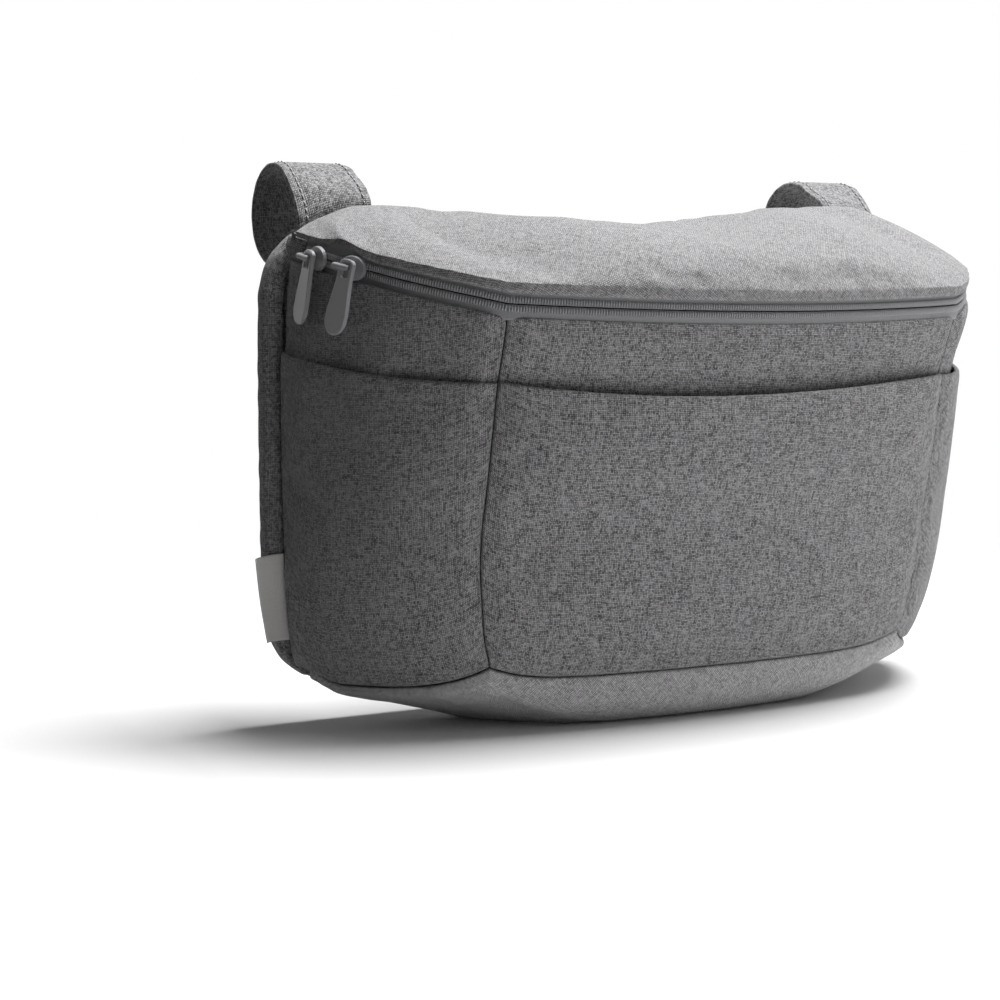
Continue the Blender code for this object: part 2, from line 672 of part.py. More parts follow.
def build():
    """Build every piece."""
    clear_scene()
    mats = {
        "fabric": material("grey melange fabric", (0.20, 0.20, 0.205), 0.9),
        "fabric_base": material("grey melange base fabric", (0.17, 0.17, 0.175), 0.9),
        "fabric_lid": material("grey melange lid fabric", (0.27, 0.27, 0.275), 0.9),
        "fabric_twill": material("grey strap fabric", (0.22, 0.22, 0.225), 0.9),
        "lining": material("dark lining", (0.03, 0.03, 0.032), 0.85),
        "tape": material("zip tape", (0.22, 0.22, 0.225), 0.7),
        "coil": material("nylon zip coil", (0.25, 0.25, 0.255), 0.45),
        "metal": material("painted zip metal", (0.20, 0.20, 0.21), 0.4, 0.2),
        "hook_loop": material("hook and loop", (0.05, 0.05, 0.052), 0.95),
        "label": material("white woven label", (0.70, 0.69, 0.68), 0.8),
    }
    make_walls(mats)
    make_pockets(mats)
    make_base_and_lining(mats)
    make_lid(mats)
    make_back(mats)
    make_zip(mats)
    make_slider("front", FRONT_SLIDER_A, mats)
    make_slider("rear", REAR_SLIDER_A, mats)
    make_pull("front", FRONT_SLIDER_A, -24.0, 1.2, mats)
    make_pull("rear", REAR_SLIDER_A, -13.0, 1.7, mats)
    make_straps(mats)
    make_label(mats)


build()
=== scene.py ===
# %% [markdown]
# # Stroller organizer
# A soft padded bag: cloth panels sewn edge to edge round a tub, a zip that runs round the top, slip
# pockets on the front and sides, and two strap loops on the back.  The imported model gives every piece
# its place and size.  This lesson dresses it in cloth, thread by thread where the eye can see it.

import math

import bmesh
import bpy
import numpy as np
from mathutils import Matrix, Vector


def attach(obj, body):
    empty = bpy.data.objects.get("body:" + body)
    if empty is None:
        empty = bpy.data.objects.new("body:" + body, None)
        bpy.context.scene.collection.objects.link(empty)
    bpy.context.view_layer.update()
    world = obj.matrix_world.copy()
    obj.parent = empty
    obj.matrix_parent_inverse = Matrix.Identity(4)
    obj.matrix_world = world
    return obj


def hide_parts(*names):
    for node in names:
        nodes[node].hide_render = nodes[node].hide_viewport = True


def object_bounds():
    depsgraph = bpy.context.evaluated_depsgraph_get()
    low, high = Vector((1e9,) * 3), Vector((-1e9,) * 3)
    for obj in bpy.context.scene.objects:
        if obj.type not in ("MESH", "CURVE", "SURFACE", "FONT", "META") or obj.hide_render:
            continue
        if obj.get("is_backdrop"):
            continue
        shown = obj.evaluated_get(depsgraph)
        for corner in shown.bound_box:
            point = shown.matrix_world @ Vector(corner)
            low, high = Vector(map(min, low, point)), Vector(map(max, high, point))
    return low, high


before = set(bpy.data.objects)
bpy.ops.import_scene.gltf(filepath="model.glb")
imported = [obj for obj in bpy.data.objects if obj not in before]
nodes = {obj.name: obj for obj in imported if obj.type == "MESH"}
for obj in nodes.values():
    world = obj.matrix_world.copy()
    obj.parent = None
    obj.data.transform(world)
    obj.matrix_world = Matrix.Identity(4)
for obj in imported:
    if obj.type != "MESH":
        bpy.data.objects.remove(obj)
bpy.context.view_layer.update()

# %% [markdown]
# ## Driving sizes
# The bag is one closed outline that changes with height.  A parameter a runs round it: -2 is the left
# back seam, -1 the left front seam, 1 and 2 the same on the right.  Lengths are in millimetres, with y
# measured from the front seams back, because a sewn bag is measured with a tape.  Every piece could be
# measured off the solids one by one, but one outline function keeps them all on the same seams.

# %% Sizes of the bag
MM = 0.001
Y_CENTRE = 47.0                                # y of the scene's origin
# Front seams: x and y at each height.
SEAM_Z = [16.0, 27.3, 39.0, 52.0, 66.0, 82.0, 96.0, 118.0, 138.0, 146.0, 161.8, 175.0]
SEAM_X = [100.5, 101.5, 105.0, 107.0, 108.5, 109.0, 109.0, 108.8, 108.5, 108.7, 109.4, 110.0]
SEAM_Y = [22.5, 20.5, 18.0, 16.0, 14.5, 12.0, 8.5, 4.0, 0.0, -3.0, -8.5, -10.0]
# Back seams: x at each height; their y is BACK_Y.
BACK_Z = [14.0, 22.0, 30.0, 45.0, 75.0, 150.0, 170.0, 180.0, 190.0, 200.0]
BACK_X = [151.0, 154.0, 157.0, 159.0, 160.0, 160.0, 159.0, 158.0, 156.5, 154.5]
# How far the sides bulge beyond the straight line between the seams.
SIDE_BULGE_Z = [16.0, 60.0, 130.0, 165.0]
SIDE_BULGE = [5.0, 8.3, 9.8, 12.5]
FRONT_BULGE = 14.0
BACK_Y = 83.4
GAP = 0.35                                     # between neighbouring pieces
PANEL_T = 3.0                                  # foam-backed cloth
POCKET_T = 1.6                                 # single layer with its turned hem
ZIP_HALF_BAND = 4.8                            # zip's centre line to either panel
ZIP_END = 1.86                                 # outline parameter where the zip stops
SIDE_SPANS = (("left", -1.99, -1.002), ("right", 1.002, 1.99))
# Top edge of the back: height at each distance from the middle.
TOP_X = [0, 60, 95, 116, 128, 137, 145, 151, 156, 160, 166]
TOP_Z = [202.5, 204.4, 206.6, 207.8, 207.0, 204.6, 200.8, 197.0, 193.0, 188.0, 176.0]
RIGHT_SHOULDER = 5.5


def smooth(t):
    """Soft step from 0 to 1: three times the square less twice the cube."""
    t = np.clip(t, 0.0, 1.0)
    return t * t * (3 - 2 * t)


def through(t, ts, values):
    """Curve through points: a cubic on each stretch, with its slopes taken from the neighbours."""
    ts = np.asarray(ts, float)
    values = np.asarray(values, float)
    slope = np.gradient(values, ts)
    t = np.clip(t, ts[0], ts[-1])
    k = np.clip(np.searchsorted(ts, t) - 1, 0, len(ts) - 2)
    h = ts[k + 1] - ts[k]
    s = (t - ts[k]) / h
    start = (1 + 2 * s) * (1 - s) ** 2 * values[k] + s * (1 - s) ** 2 * h * slope[k]
    stop = s * s * (3 - 2 * s) * values[k + 1] + s * s * (s - 1) * h * slope[k + 1]
    return start + stop


def plan(a, z):
    """Outline at height z: a shallow bow across the front, then a bulging chord to the back seam."""
    half = through(z, SEAM_Z, SEAM_X)
    front = through(z, SEAM_Z, SEAM_Y)
    back = through(z, BACK_Z, BACK_X)
    low = smooth((z - 14.0) / 60.0)
    t = np.minimum(np.abs(a), 1.0)
    s = np.maximum(np.abs(a) - 1.0, 0.0)
    bow_y = front - FRONT_BULGE * (0.8 + 0.2 * low) * (1 - t * t)
    dx = back - half
    dy = BACK_Y - front
    chord = np.hypot(dx, dy)
    puff = through(z, SIDE_BULGE_Z, SIDE_BULGE) * 4 * s * (1 - s)
    x = np.where(s > 0, half + dx * s + puff * dy / chord, half * t)
    y = np.where(s > 0, front + dy * s - puff * dx / chord, bow_y)
    return x * np.sign(a), y


def wall(a, z, out=0.0):
    """Outline point moved outwards by out, square to the outline."""
    a, z, out = np.broadcast_arrays(np.asarray(a, float), np.asarray(z, float), np.asarray(out, float))
    x0, y0 = plan(np.maximum(a - 0.03, -2.0), z)
    x1, y1 = plan(np.minimum(a + 0.03, 2.0), z)
    length = np.hypot(x1 - x0, y1 - y0)
    x, y = plan(a, z)
    return np.stack([x + out * (y1 - y0) / length, y - out * (x1 - x0) / length, z], axis=-1)


def soft_wall(a, z, out=0.0):
    """The outline with rounded corners: the mean of its points over 12 mm to each side."""
    steps = np.linspace(-0.11, 0.11, 9)
    weights = np.cos(steps / 0.13 * np.pi / 2)
    total = sum(w * wall(np.clip(a + step, -2, 2), z, out) for w, step in zip(weights, steps))
    near_end = smooth((np.abs(a) - 1.4) / 0.3)
    near_end = np.broadcast_to(near_end, total.shape[:-1])[..., None]
    return total / weights.sum() * (1 - near_end) + wall(a, z, out) * near_end


def zip_z(a):
    """Height of the zip's centre line: level in front, climbing along the sides."""
    return 163.8 + 3.0 * np.minimum(np.abs(a), 1.0) ** 2 + 24.0 * np.maximum(np.abs(a) - 1.0, 0.0)


def bottom_z(a):
    """Height of the seam between the walls and the base."""
    t = np.minimum(np.abs(a), 1.0)
    s = np.maximum(np.abs(a) - 1.0, 0.0)
    return np.where(s > 0, 18.0 + 9.5 * (1 - s) ** 5 + 6.0 * smooth((s - 0.75) / 0.25), 21.5 + 6.0 * t ** 8)


def shoulder(x):
    """Extra height on the right: a soft step up by x = 90 and a soft step down from 122 to 144."""
    return RIGHT_SHOULDER * smooth(x / 90.0) * (1 - smooth((x - 122.0) / 22.0))


def back_top(x):
    """Top edge of the back: high shoulders over the straps, a sag between them."""
    return through(np.abs(x), TOP_X, TOP_Z) + shoulder(x)


def zip_wave(a):
    """The little in-and-out wave of the zip that turns the front slider to face forward."""
    run = (a + 1.58) * 108.0 / 8.0
    return -1.9 * run * np.exp(-0.5 * run * run)


for a, title in ((-2, "left back seam"), (-1, "left front seam"), (0, "middle of the front")):
    print(title, "at 100 mm high:", [round(float(c), 1) for c in plan(a, 100.0)], "mm")

# %% [markdown]
# ## One way to make a sewn piece
# Each cloth piece is a grid of points worked out as whole arrays.  Its outer face is copied inwards along
# its own normals and the two faces are joined round the edge by a half-round rim, because a folded and
# sewn edge is round.  The Solidify modifier could give the thickness too, but with a square rim.  The grid also
# carries a map in millimetres of cloth, which the weave follows.

# %% Grids and shells
def ruler(count, ease):
    """Positions from 0 to 1, closer together at both ends as ease goes to 1."""
    t = np.linspace(0, 1, count + 1)
    return (1 - ease) * t + ease * (0.5 - 0.5 * np.cos(np.pi * t))


def grid_normals(p, wrap, calm=3):
    """Unit normals of a grid: cross product of its two directions, averaged with the neighbours by area."""
    if wrap:
        p = np.concatenate([p[-calm - 2:-1], p, p[1:calm + 2]])
    n = np.cross(np.gradient(p, axis=0), np.gradient(p, axis=1))
    for _ in range(calm):
        wide = np.pad(n, ((1, 1), (1, 1), (0, 0)), mode="edge")
        n = (wide[2:, 1:-1] + wide[:-2, 1:-1] + wide[1:-1, 2:] + wide[1:-1, :-2] + 2 * n) / 6
    n /= np.maximum(np.linalg.norm(n, axis=2, keepdims=True), 1e-12)
    return n[calm + 1:-calm - 1] if wrap else n


def run_of(p, axis=0):
    """Distance run along one direction of a grid or line: the lengths of its steps, summed."""
    first = np.take(p, [0], axis=axis)
    return np.cumsum(np.linalg.norm(np.diff(p, axis=axis, prepend=first), axis=-1), axis=axis)


def cloth_map(p):
    """Millimetres of cloth along both grid directions, measured from the middle."""
    along, up = run_of(p, 0), run_of(p, 1)
    return np.stack([along - along[len(along) // 2], up], axis=2)


def to_metres(p):
    """Millimetres of the bag to the scene's metres."""
    return (np.asarray(p, float) - [0, Y_CENTRE, 0]) * MM


def edge_ring(count_u, count_v):
    """Numbers of the grid's border points, once round."""
    index = np.arange((count_u + 1) * (count_v + 1)).reshape(count_u + 1, count_v + 1)
    return np.concatenate([index[:-1, 0], index[-1, :-1], index[:0:-1, -1], index[0, :0:-1]])


def quads(index):
    """Faces of a grid of point numbers."""
    return np.stack([index[:-1, :-1], index[1:, :-1], index[1:, 1:], index[:-1, 1:]], axis=-1).reshape(-1, 4)

# %% Mesh from points
def mesh_object(name, points, faces, uv, material):
    """A mesh object from millimetre points and faces, with its cloth map, welded and smooth."""
    mesh = bpy.data.meshes.new(name)
    mesh.from_pydata(to_metres(points), [], faces.tolist() if hasattr(faces, "tolist") else faces)
    if uv is not None:
        layer = mesh.uv_layers.new(name="cloth")
        corner = np.zeros(len(mesh.loops), int)
        mesh.loops.foreach_get("vertex_index", corner)
        layer.data.foreach_set("uv", np.asarray(uv, np.float32)[corner].ravel())
    bm = bmesh.new()
    bm.from_mesh(mesh)
    bmesh.ops.remove_doubles(bm, verts=bm.verts, dist=0.000002)
    bmesh.ops.recalc_face_normals(bm, faces=bm.faces)
    bm.to_mesh(mesh)
    bm.free()
    mesh.shade_smooth()
    mesh.materials.append(material)
    obj = bpy.data.objects.new(name, mesh)
    bpy.context.scene.collection.objects.link(obj)
    return obj

# %% Shell with a rounded rim
def inward_step(grid, ring, wrap):
    """Unit step from each border point towards the middle of the grid."""
    if wrap:
        step = grid[:, 1] - grid[:, 0]
    else:
        wide = np.pad(grid, ((1, 1), (1, 1), (0, 0)), mode="reflect", reflect_type="even")
        step = (wide[2:, 1:-1] + wide[:-2, 1:-1] + wide[1:-1, 2:] + wide[1:-1, :-2]) / 4 - grid
        step = step.reshape(-1, grid.shape[2])[ring]
    return step / np.maximum(np.linalg.norm(step, axis=1, keepdims=True), 1e-9)


def shell(name, outer, thick, material, uv=None, wrap=False, flip=False, rim=3):
    """Closed piece: the outer grid, its copy moved in by thick, and a half-round rim between them."""
    nu, nv = outer.shape[0] - 1, outer.shape[1] - 1
    normal = grid_normals(outer, wrap) * (-1 if flip else 1)
    inner = outer - normal * np.reshape(thick, (1, 1, 1) if np.isscalar(thick) else thick.shape + (1,))
    if uv is None:
        uv = cloth_map(outer)
    count = (nu + 1) * (nv + 1)
    index = np.arange(count).reshape(nu + 1, nv + 1)
    points = [outer.reshape(-1, 3), inner.reshape(-1, 3)]
    uvs = [uv.reshape(-1, 2), uv.reshape(-1, 2)]
    faces = [quads(index), quads(index + count)[:, ::-1]]
    ring = index[:, 0] if wrap else np.append(edge_ring(nu, nv), 0)
    top, bottom = outer.reshape(-1, 3)[ring], inner.reshape(-1, 3)[ring]
    middle, half = (top + bottom) / 2, (top - bottom) / 2
    inwards = inward_step(outer, ring, wrap)
    map_step = inward_step(uv, ring, wrap)
    reach = np.linalg.norm(half, axis=1, keepdims=True)
    last = ring
    start = 2 * count
    for k in range(1, rim + 1):
        if k < rim:
            turn = math.pi * k / rim
            points.append(middle + half * math.cos(turn) - inwards * reach * math.sin(turn))
            uvs.append(uv.reshape(-1, 2)[ring] - map_step * reach * turn)
            now = np.arange(start, start + len(ring))
            start += len(ring)
        else:
            now = ring + count
        faces.append(np.stack([last[:-1], now[:-1], now[1:], last[1:]], axis=1))
        last = now
    return mesh_object(name, np.concatenate(points), np.concatenate(faces), np.concatenate(uvs), material)

# %% Sewn edges
def roll(distance, width=2.0, depth=2.0):
    """How far an edge turns in towards its seam: a quarter ellipse of that width and depth."""
    short = np.clip(1.0 - distance / width, 0.0, 1.0)
    return -depth * (1.0 - np.sqrt(1.0 - short * short))


def waves(along, seed, lengths, heights):
    """Irregular puckers: a sum of sines of several wavelengths with seeded phases."""
    rng = np.random.default_rng(seed)
    total = 0.0
    for length, height in zip(lengths, heights):
        bend = 0.35 * length * np.sin(along / (length * 3.7) + rng.uniform(0, 6.3))
        total = total + height * np.sin(2 * np.pi * (along + bend) / length + rng.uniform(0, 6.3))
    return total


# %% [markdown]
# ## Cloth that settles by itself
# Panels are cut a little larger than the space between their seams, so they swell and ripple.  Blender's
# cloth solver works that out on a coarse grid with its border held: the cloth grows by a percent or two
# and is pushed outwards by the padding behind it.  The movement is then read off onto the fine grid.
# Folds could be sculpted by hand, but solved ones fit the panel's own size and stiffness.

# %% Settle a panel
def settle(outer_of, size, extra, push, cap, stiff=3.0, frames=18):
    """Movement of a held cloth grid in millimetres, as a function of the fine grid's positions."""
    nu, nv = size
    us, vs = np.linspace(0, 1, nu + 1), np.linspace(0, 1, nv + 1)
    start = outer_of(us[:, None], vs[None, :])
    index = np.arange((nu + 1) * (nv + 1)).reshape(nu + 1, nv + 1)
    mesh = bpy.data.meshes.new("settle")
    mesh.from_pydata(to_metres(start).reshape(-1, 3), [], quads(index).tolist())
    obj = bpy.data.objects.new("settle", mesh)
    bpy.context.scene.collection.objects.link(obj)
    held = obj.vertex_groups.new(name="held")
    held.add([int(i) for i in edge_ring(nu, nv)], 1.0, "REPLACE")
    cloth = obj.modifiers.new("cloth", "CLOTH")
    setting = cloth.settings
    setting.quality = 6
    setting.mass = 0.15
    setting.tension_stiffness = setting.compression_stiffness = 12
    setting.shear_stiffness = 4
    setting.bending_stiffness = stiff
    setting.vertex_group_mass = "held"
    setting.shrink_min = -extra
    setting.use_pressure = True
    setting.uniform_pressure_force = push
    setting.effector_weights.gravity = 0
    cloth.collision_settings.use_collision = False
    for number in range(1, frames + 1):
        bpy.context.scene.frame_set(number)
    final = np.zeros(len(mesh.vertices) * 3, np.float32)
    obj.evaluated_get(bpy.context.evaluated_depsgraph_get()).data.vertices.foreach_get("co", final)
    moved = (final.reshape(start.shape).astype(float) - to_metres(start)) / MM
    bpy.data.objects.remove(obj, do_unlink=True)
    bpy.data.meshes.remove(mesh)
    bpy.context.scene.frame_set(1)
    far = np.linalg.norm(moved, axis=2, keepdims=True)
    moved *= cap * np.tanh(far / cap) / np.maximum(far, 1e-6)
    print("settled:", nu * nv, "faces, moved up to", round(float(far.max()), 1), "mm")

    def read(u, v):
        """The movement at fine positions: a cubic along v for each row, then along u."""
        parts = []
        for k in range(3):
            rows = np.stack([through(v, vs, row) for row in moved[:, :, k]])
            parts.append(np.stack([through(u, us, column) for column in rows.T], axis=1))
        return np.stack(parts, axis=2)
    return read


# %% [markdown]
# ## Finishes
# The cloth is a woven melange polyester: every thread is spun from dark and light fibres, so the threads
# differ from each other and along their length.  The weave is drawn on the cloth map, so it stays
# square to the seams and its scale is real.  A picture of cloth could be wrapped round instead, but nodes
# stay sharp at any distance and never repeat.

# %% Node helper
def linear(text):
    """A colour written in sRGB hex, turned to the linear values that the shader needs."""
    srgb = np.array([int(text[i:i + 2], 16) / 255 for i in (0, 2, 4)])
    return (*np.where(srgb <= 0.04045, srgb / 12.92, ((srgb + 0.055) / 1.055) ** 2.4), 1.0)


def add(tree, kind, inputs=None, **settings):
    """Add a node, set its properties, then fill or link its inputs."""
    made = tree.nodes.new(kind)
    for key, value in settings.items():
        setattr(made, key, value)
    for key, value in (inputs or {}).items():
        if isinstance(value, bpy.types.NodeSocket):
            tree.links.new(value, made.inputs[key])
        else:
            made.inputs[key].default_value = value
    return made


def finish(name, base, rough=0.6, metal=0.0, sheen=0.0):
    """A new material with its Principled shader and node tree."""
    material = bpy.data.materials.new(name)
    material.use_nodes = True
    shader = material.node_tree.nodes["Principled BSDF"]
    shader.inputs["Base Color"].default_value = linear(base)
    shader.inputs["Roughness"].default_value = rough
    shader.inputs["Metallic"].default_value = metal
    shader.inputs["Sheen Weight"].default_value = sheen
    material.diffuse_color = linear(base)
    return material, material.node_tree, shader


# %% Woven melange polyester
THREAD = 0.72          # mm; the real cloth has about 16 threads per centimetre, drawn a little coarser to show
WANDER = 0.8           # mm that the threads stray from straight
FIBRE = 3.0            # mm of thread before its shade changes
SLUB = (0.8, 11.0)     # mm across and along a streak of thicker threads


def woven(name, dark, light, turn=0.0, thread=THREAD, repeat=2.0, contrast=1.55, bump=0.5):
    """Interlaced threads: warp shows where the sum of the two thread numbers is even, else weft."""
    material, tree, shader = finish(name, light, rough=0.9, sheen=0.15)

    def calc(operation, first, second=0.0, third=0.0):
        return add(tree, "ShaderNodeMath", {0: first, 1: second, 2: third}, operation=operation).outputs[0]

    uv = add(tree, "ShaderNodeUVMap", uv_map="cloth").outputs[0]
    sway = add(tree, "ShaderNodeTexNoise", {"Vector": uv, "Scale": 0.35, "Detail": 1.0}).outputs["Color"]
    wander = add(tree, "ShaderNodeVectorMath", {0: sway, 1: (WANDER, WANDER, 0.0), 2: uv},
                 operation="MULTIPLY_ADD").outputs[0]
    turned = add(tree, "ShaderNodeMapping", {"Vector": wander,
                                             "Rotation": (0, 0, math.radians(turn))}).outputs[0]
    split = add(tree, "ShaderNodeSeparateXYZ", {0: turned})
    across, along = split.outputs[0], split.outputs[1]
    warp = calc("MULTIPLY", across, 1 / thread)
    weft = calc("MULTIPLY", along, 1 / thread)
    warp_number, weft_number = calc("FLOOR", warp), calc("FLOOR", weft)
    both = calc("FRACT", calc("DIVIDE", calc("ADD", warp_number, weft_number), repeat))
    over = calc("LESS_THAN", both, 0.49)

    def fibre(number, length, offset):
        """Shade of one thread: noise that is long along the thread and new for each thread."""
        place = add(tree, "ShaderNodeCombineXYZ", {0: calc("MULTIPLY", number, 3.17), 2: offset,
                                                   1: calc("MULTIPLY", length, 1 / FIBRE)}).outputs[0]
        return add(tree, "ShaderNodeTexNoise", {"Vector": place, "Scale": 1.0, "Detail": 2.0,
                                                "Roughness": 0.7}).outputs[0]

    def slub(wide, long, offset):
        """Broad faint streaks where a run of threads is a little thicker or darker."""
        place = add(tree, "ShaderNodeCombineXYZ", {0: calc("MULTIPLY", wide, 1 / SLUB[0]), 2: offset,
                                                   1: calc("MULTIPLY", long, 1 / SLUB[1])}).outputs[0]
        return add(tree, "ShaderNodeTexNoise", {"Vector": place, "Scale": 1.0, "Detail": 3.0,
                                                "Roughness": 0.6}).outputs[0]

    warp_shade = fibre(warp_number, along, 0.0)
    weft_shade = fibre(weft_number, across, 40.0)
    thread_shade = add(tree, "ShaderNodeMix", {0: over, 2: weft_shade, 3: warp_shade}).outputs[0]
    streaks = calc("ADD", slub(across, along, 80.0), slub(along, across, 120.0))
    shade = calc("MULTIPLY_ADD", streaks, 0.6, calc("MULTIPLY_ADD", thread_shade, 2.0, -1.1))
    level = calc("MULTIPLY_ADD", calc("SUBTRACT", shade, 0.5), contrast, 0.5)
    round_warp = calc("ABSOLUTE", calc("SINE", calc("MULTIPLY", warp, math.pi)))
    round_weft = calc("ABSOLUTE", calc("SINE", calc("MULTIPLY", weft, math.pi)))
    height = calc("MULTIPLY", round_warp, round_weft)
    # Painted shade: the colour darkens in the hollows between the raised threads, where they shade each other.
    shaded = calc("MULTIPLY_ADD", calc("SUBTRACT", height, 0.4), 0.8, level)
    colour = add(tree, "ShaderNodeMix", {0: shaded, 6: linear(dark), 7: linear(light)}, data_type="RGBA",
                 clamp_factor=True)
    tree.links.new(colour.outputs[2], shader.inputs["Base Color"])
    relief = add(tree, "ShaderNodeBump", {"Height": height, "Strength": bump, "Distance": 0.0003})
    tree.links.new(relief.outputs[0], shader.inputs["Normal"])
    return material


# Dark and light fibres in every thread: even grey from afar, salt and pepper close by.
# Written darker than the lid's copy of the same cloth: painted shade for the walls, which get less light.
body_cloth_painted_shade = woven("woven polyester melange", "363435", "A3A2A4")
# The same cloth with its threads slanted: calmer, because both threads catch the light from above.
# Written lighter than the walls' copy of the same cloth: painted light from above.
lid_cloth_painted_light = woven("woven polyester melange on the bias", "4C4A4B", "ABAAAC", turn=38.0, contrast=1.0)
# The padded base, written lighter because it faces the floor and gets little light.
base_cloth = woven("woven polyester melange base", "706E6F", "DEDDDF", turn=40.0, contrast=1.0)
# Straps, bindings and patches: longer floats of thread give short slanted dashes.
twill_cloth = woven("polyester twill", "3B393A", "A3A2A4", turn=0.0, repeat=4.0)
# Fine tape beside the teeth: an even mid grey with hardly any grain.
tape_cloth = woven("zip tape herringbone", "88888B", "A6A6A9", thread=0.5, repeat=4.0, contrast=0.5, bump=0.2)
# Smooth ribbon: nearly even off-white, the lightest thing on the bag.
label_cloth = woven("damask label ribbon", "CFCDCB", "EDEBE9", thread=0.3, repeat=4.0, contrast=0.5, bump=0.1)
print("cloth finishes:", [m.name for m in bpy.data.materials if m.name.startswith(("woven", "poly"))])

# %% Hard finishes
def speckled(name, base, rough, metal, scale, amount, worn=0.0):
    """A finish whose colour and roughness wander a little, with cast edges rounded by worn metres."""
    material, tree, shader = finish(name, base, rough, metal)
    place = add(tree, "ShaderNodeTexCoord").outputs["Object"]
    noise = add(tree, "ShaderNodeTexNoise", {"Vector": place, "Scale": scale, "Detail": 4.0}).outputs[0]
    dark = tuple(c * (1 - amount) for c in linear(base)[:3]) + (1.0,)
    lit = tuple(min(c * (1 + amount), 1) for c in linear(base)[:3]) + (1.0,)
    mix = add(tree, "ShaderNodeMix", {0: noise, 6: dark, 7: lit}, data_type="RGBA")
    tree.links.new(mix.outputs[2], shader.inputs["Base Color"])
    spread = add(tree, "ShaderNodeMapRange", {0: noise, 3: rough * 0.85, 4: rough * 1.15}).outputs[0]
    tree.links.new(spread, shader.inputs["Roughness"])
    relief = add(tree, "ShaderNodeBump", {"Height": noise, "Strength": 0.12, "Distance": 0.0001})
    if worn:
        edges = add(tree, "ShaderNodeBevel", {"Radius": worn}, samples=6).outputs[0]
        tree.links.new(edges, relief.inputs["Normal"])
    tree.links.new(relief.outputs[0], shader.inputs["Normal"])
    return material


# Scale is spots per metre.  The finer ones are below what the render shows and only soften the gloss.
# Satin grey paint on cast metal: soft highlights, with edges that catch a thin line of light.
zinc_paint = speckled("painted die-cast zinc", "88888B", 0.34, 0.0, 900.0, 0.06, worn=0.00035)
# Nylon wire: a small glint on every tooth.
coil_nylon = speckled("nylon coil", "A9A9AC", 0.45, 0.0, 1500.0, 0.08)
# Thread lighter than the straps' mean grey, so the seams read as rows of dashes.
sewing_thread = speckled("polyester sewing thread", "A6A6A9", 0.6, 0.0, 3000.0, 0.1)
# Dense short loops: matt and nearly black.
hook_loop = speckled("hook and loop tape", "2B2B2D", 0.95, 0.0, 2500.0, 0.5)
# Plain dark lining: a shadow wherever the bag opens.
lining_cloth = speckled("dark polyester lining", "2A2A2C", 0.85, 0.0, 1800.0, 0.3)
print(len(bpy.data.materials), "finishes so far")

# %% [markdown]
# ## Walls
# The front and side panels are foam-backed cloth.  Each swells between its seams and rolls in at its
# edges, which draws the dark seam lines.  Flat plates with a bump could stand for them, but a seam casts
# its own shadow only where the cloth truly turns in.

# %% Panels between the base seam and the zip
FRONT_SPAN = (-0.998, 0.998)
FRONT_WIDE, SIDE_WIDE = 217.0, 107.0           # cloth between the upright seams
SEAM_ROLL, MOUTH_ROLL = (1.9, 1.2), (1.5, 1.0)  # width and depth of the turn at a sewn and at a free edge
THIN, THIN_WIDE = 1.1, 9.0                     # the padding thins towards every seam
PULL_IN, PULL_IN_WIDE = 0.9, 7.0               # and the upright seams draw it in further
SETTLE_CAP = 2.5


def wall_panel(name, span, width, size, node, seed, high_of, out, thick, swell, extra, push):
    """Padded panel between two upright seams: outline plus swell, less the roll at its sewn edges."""
    a_from, a_to = span

    def face(u, v):
        a = a_from + (a_to - a_from) * u
        low = bottom_z(a) + GAP
        high = high_of(a)
        z = low + (high - low) * v
        left, right = u * width, (1 - u) * width
        down, up = z - low, high - z
        nearest = np.minimum(np.minimum(left, right), down)
        lift = (out + roll(nearest, *SEAM_ROLL) - THIN * (1 - smooth(nearest / THIN_WIDE))
                + roll(up, *MOUTH_ROLL) + swell(u, v))
        lift = lift - PULL_IN * (1 - smooth(np.minimum(left, right) / PULL_IN_WIDE)) * smooth(down / 12.0)
        along = np.where(np.minimum(left, right) < down, z, u * width)
        pucker = waves(along, seed, [7.0, 11.0, 17.0], [0.10, 0.14, 0.16])
        lift = lift + pucker * np.exp(-nearest / 7.0) * smooth(nearest / 1.5)
        return wall(a, z, lift)

    moved = settle(face, size, extra, push, SETTLE_CAP)
    us, vs = ruler(size[0] * 3, 0.75), ruler(size[1] * 3, 0.75)
    outer = face(us[:, None], vs[None, :])
    if moved is not None:
        outer = outer + moved(us, vs)
    piece = shell(name, outer, thick, body_cloth_painted_shade)
    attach(piece, "bag")
    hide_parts(node)
    print(name, len(piece.data.polygons), "faces")
    return piece


def zip_edge(a):
    """Top edge of the walls, under the zip tape."""
    return zip_z(a) - ZIP_HALF_BAND


def no_swell(u, v):
    """Nothing added to the outline."""
    return 0.0 * u * v


def pull_crease(u, v):
    """A soft slanted crease under the zip pulls, near the back seam."""
    across = (u - 0.17) * SIDE_WIDE - (v - 0.9) * 70.0
    along = (v - 0.9) * 150.0 + (u - 0.17) * 40.0
    return -1.3 * np.exp(-(across / 3.0) ** 2) * np.exp(-(along / 13.0) ** 2)


front_wall = wall_panel("front_wall", FRONT_SPAN, FRONT_WIDE, (54, 35), "front_panel", 3, zip_edge, 0.3,
                        PANEL_T, no_swell, 0.004, 0.4)
for word, *span in SIDE_SPANS:
    side_wall = wall_panel(word + "_side_wall", span, SIDE_WIDE, (28, 36), word + "_side_panel", 5, zip_edge,
                           0.3, PANEL_T, pull_crease if word == "left" else no_swell, 0.004, 0.4)

# %% [markdown]
# ## Slip pockets
# A pocket is a second layer sewn in at three edges.  Its mouth is a folded edge that hangs a little slack.
# It could be a line drawn on the wall, but a true second layer gives the dark mouth and its shadow.

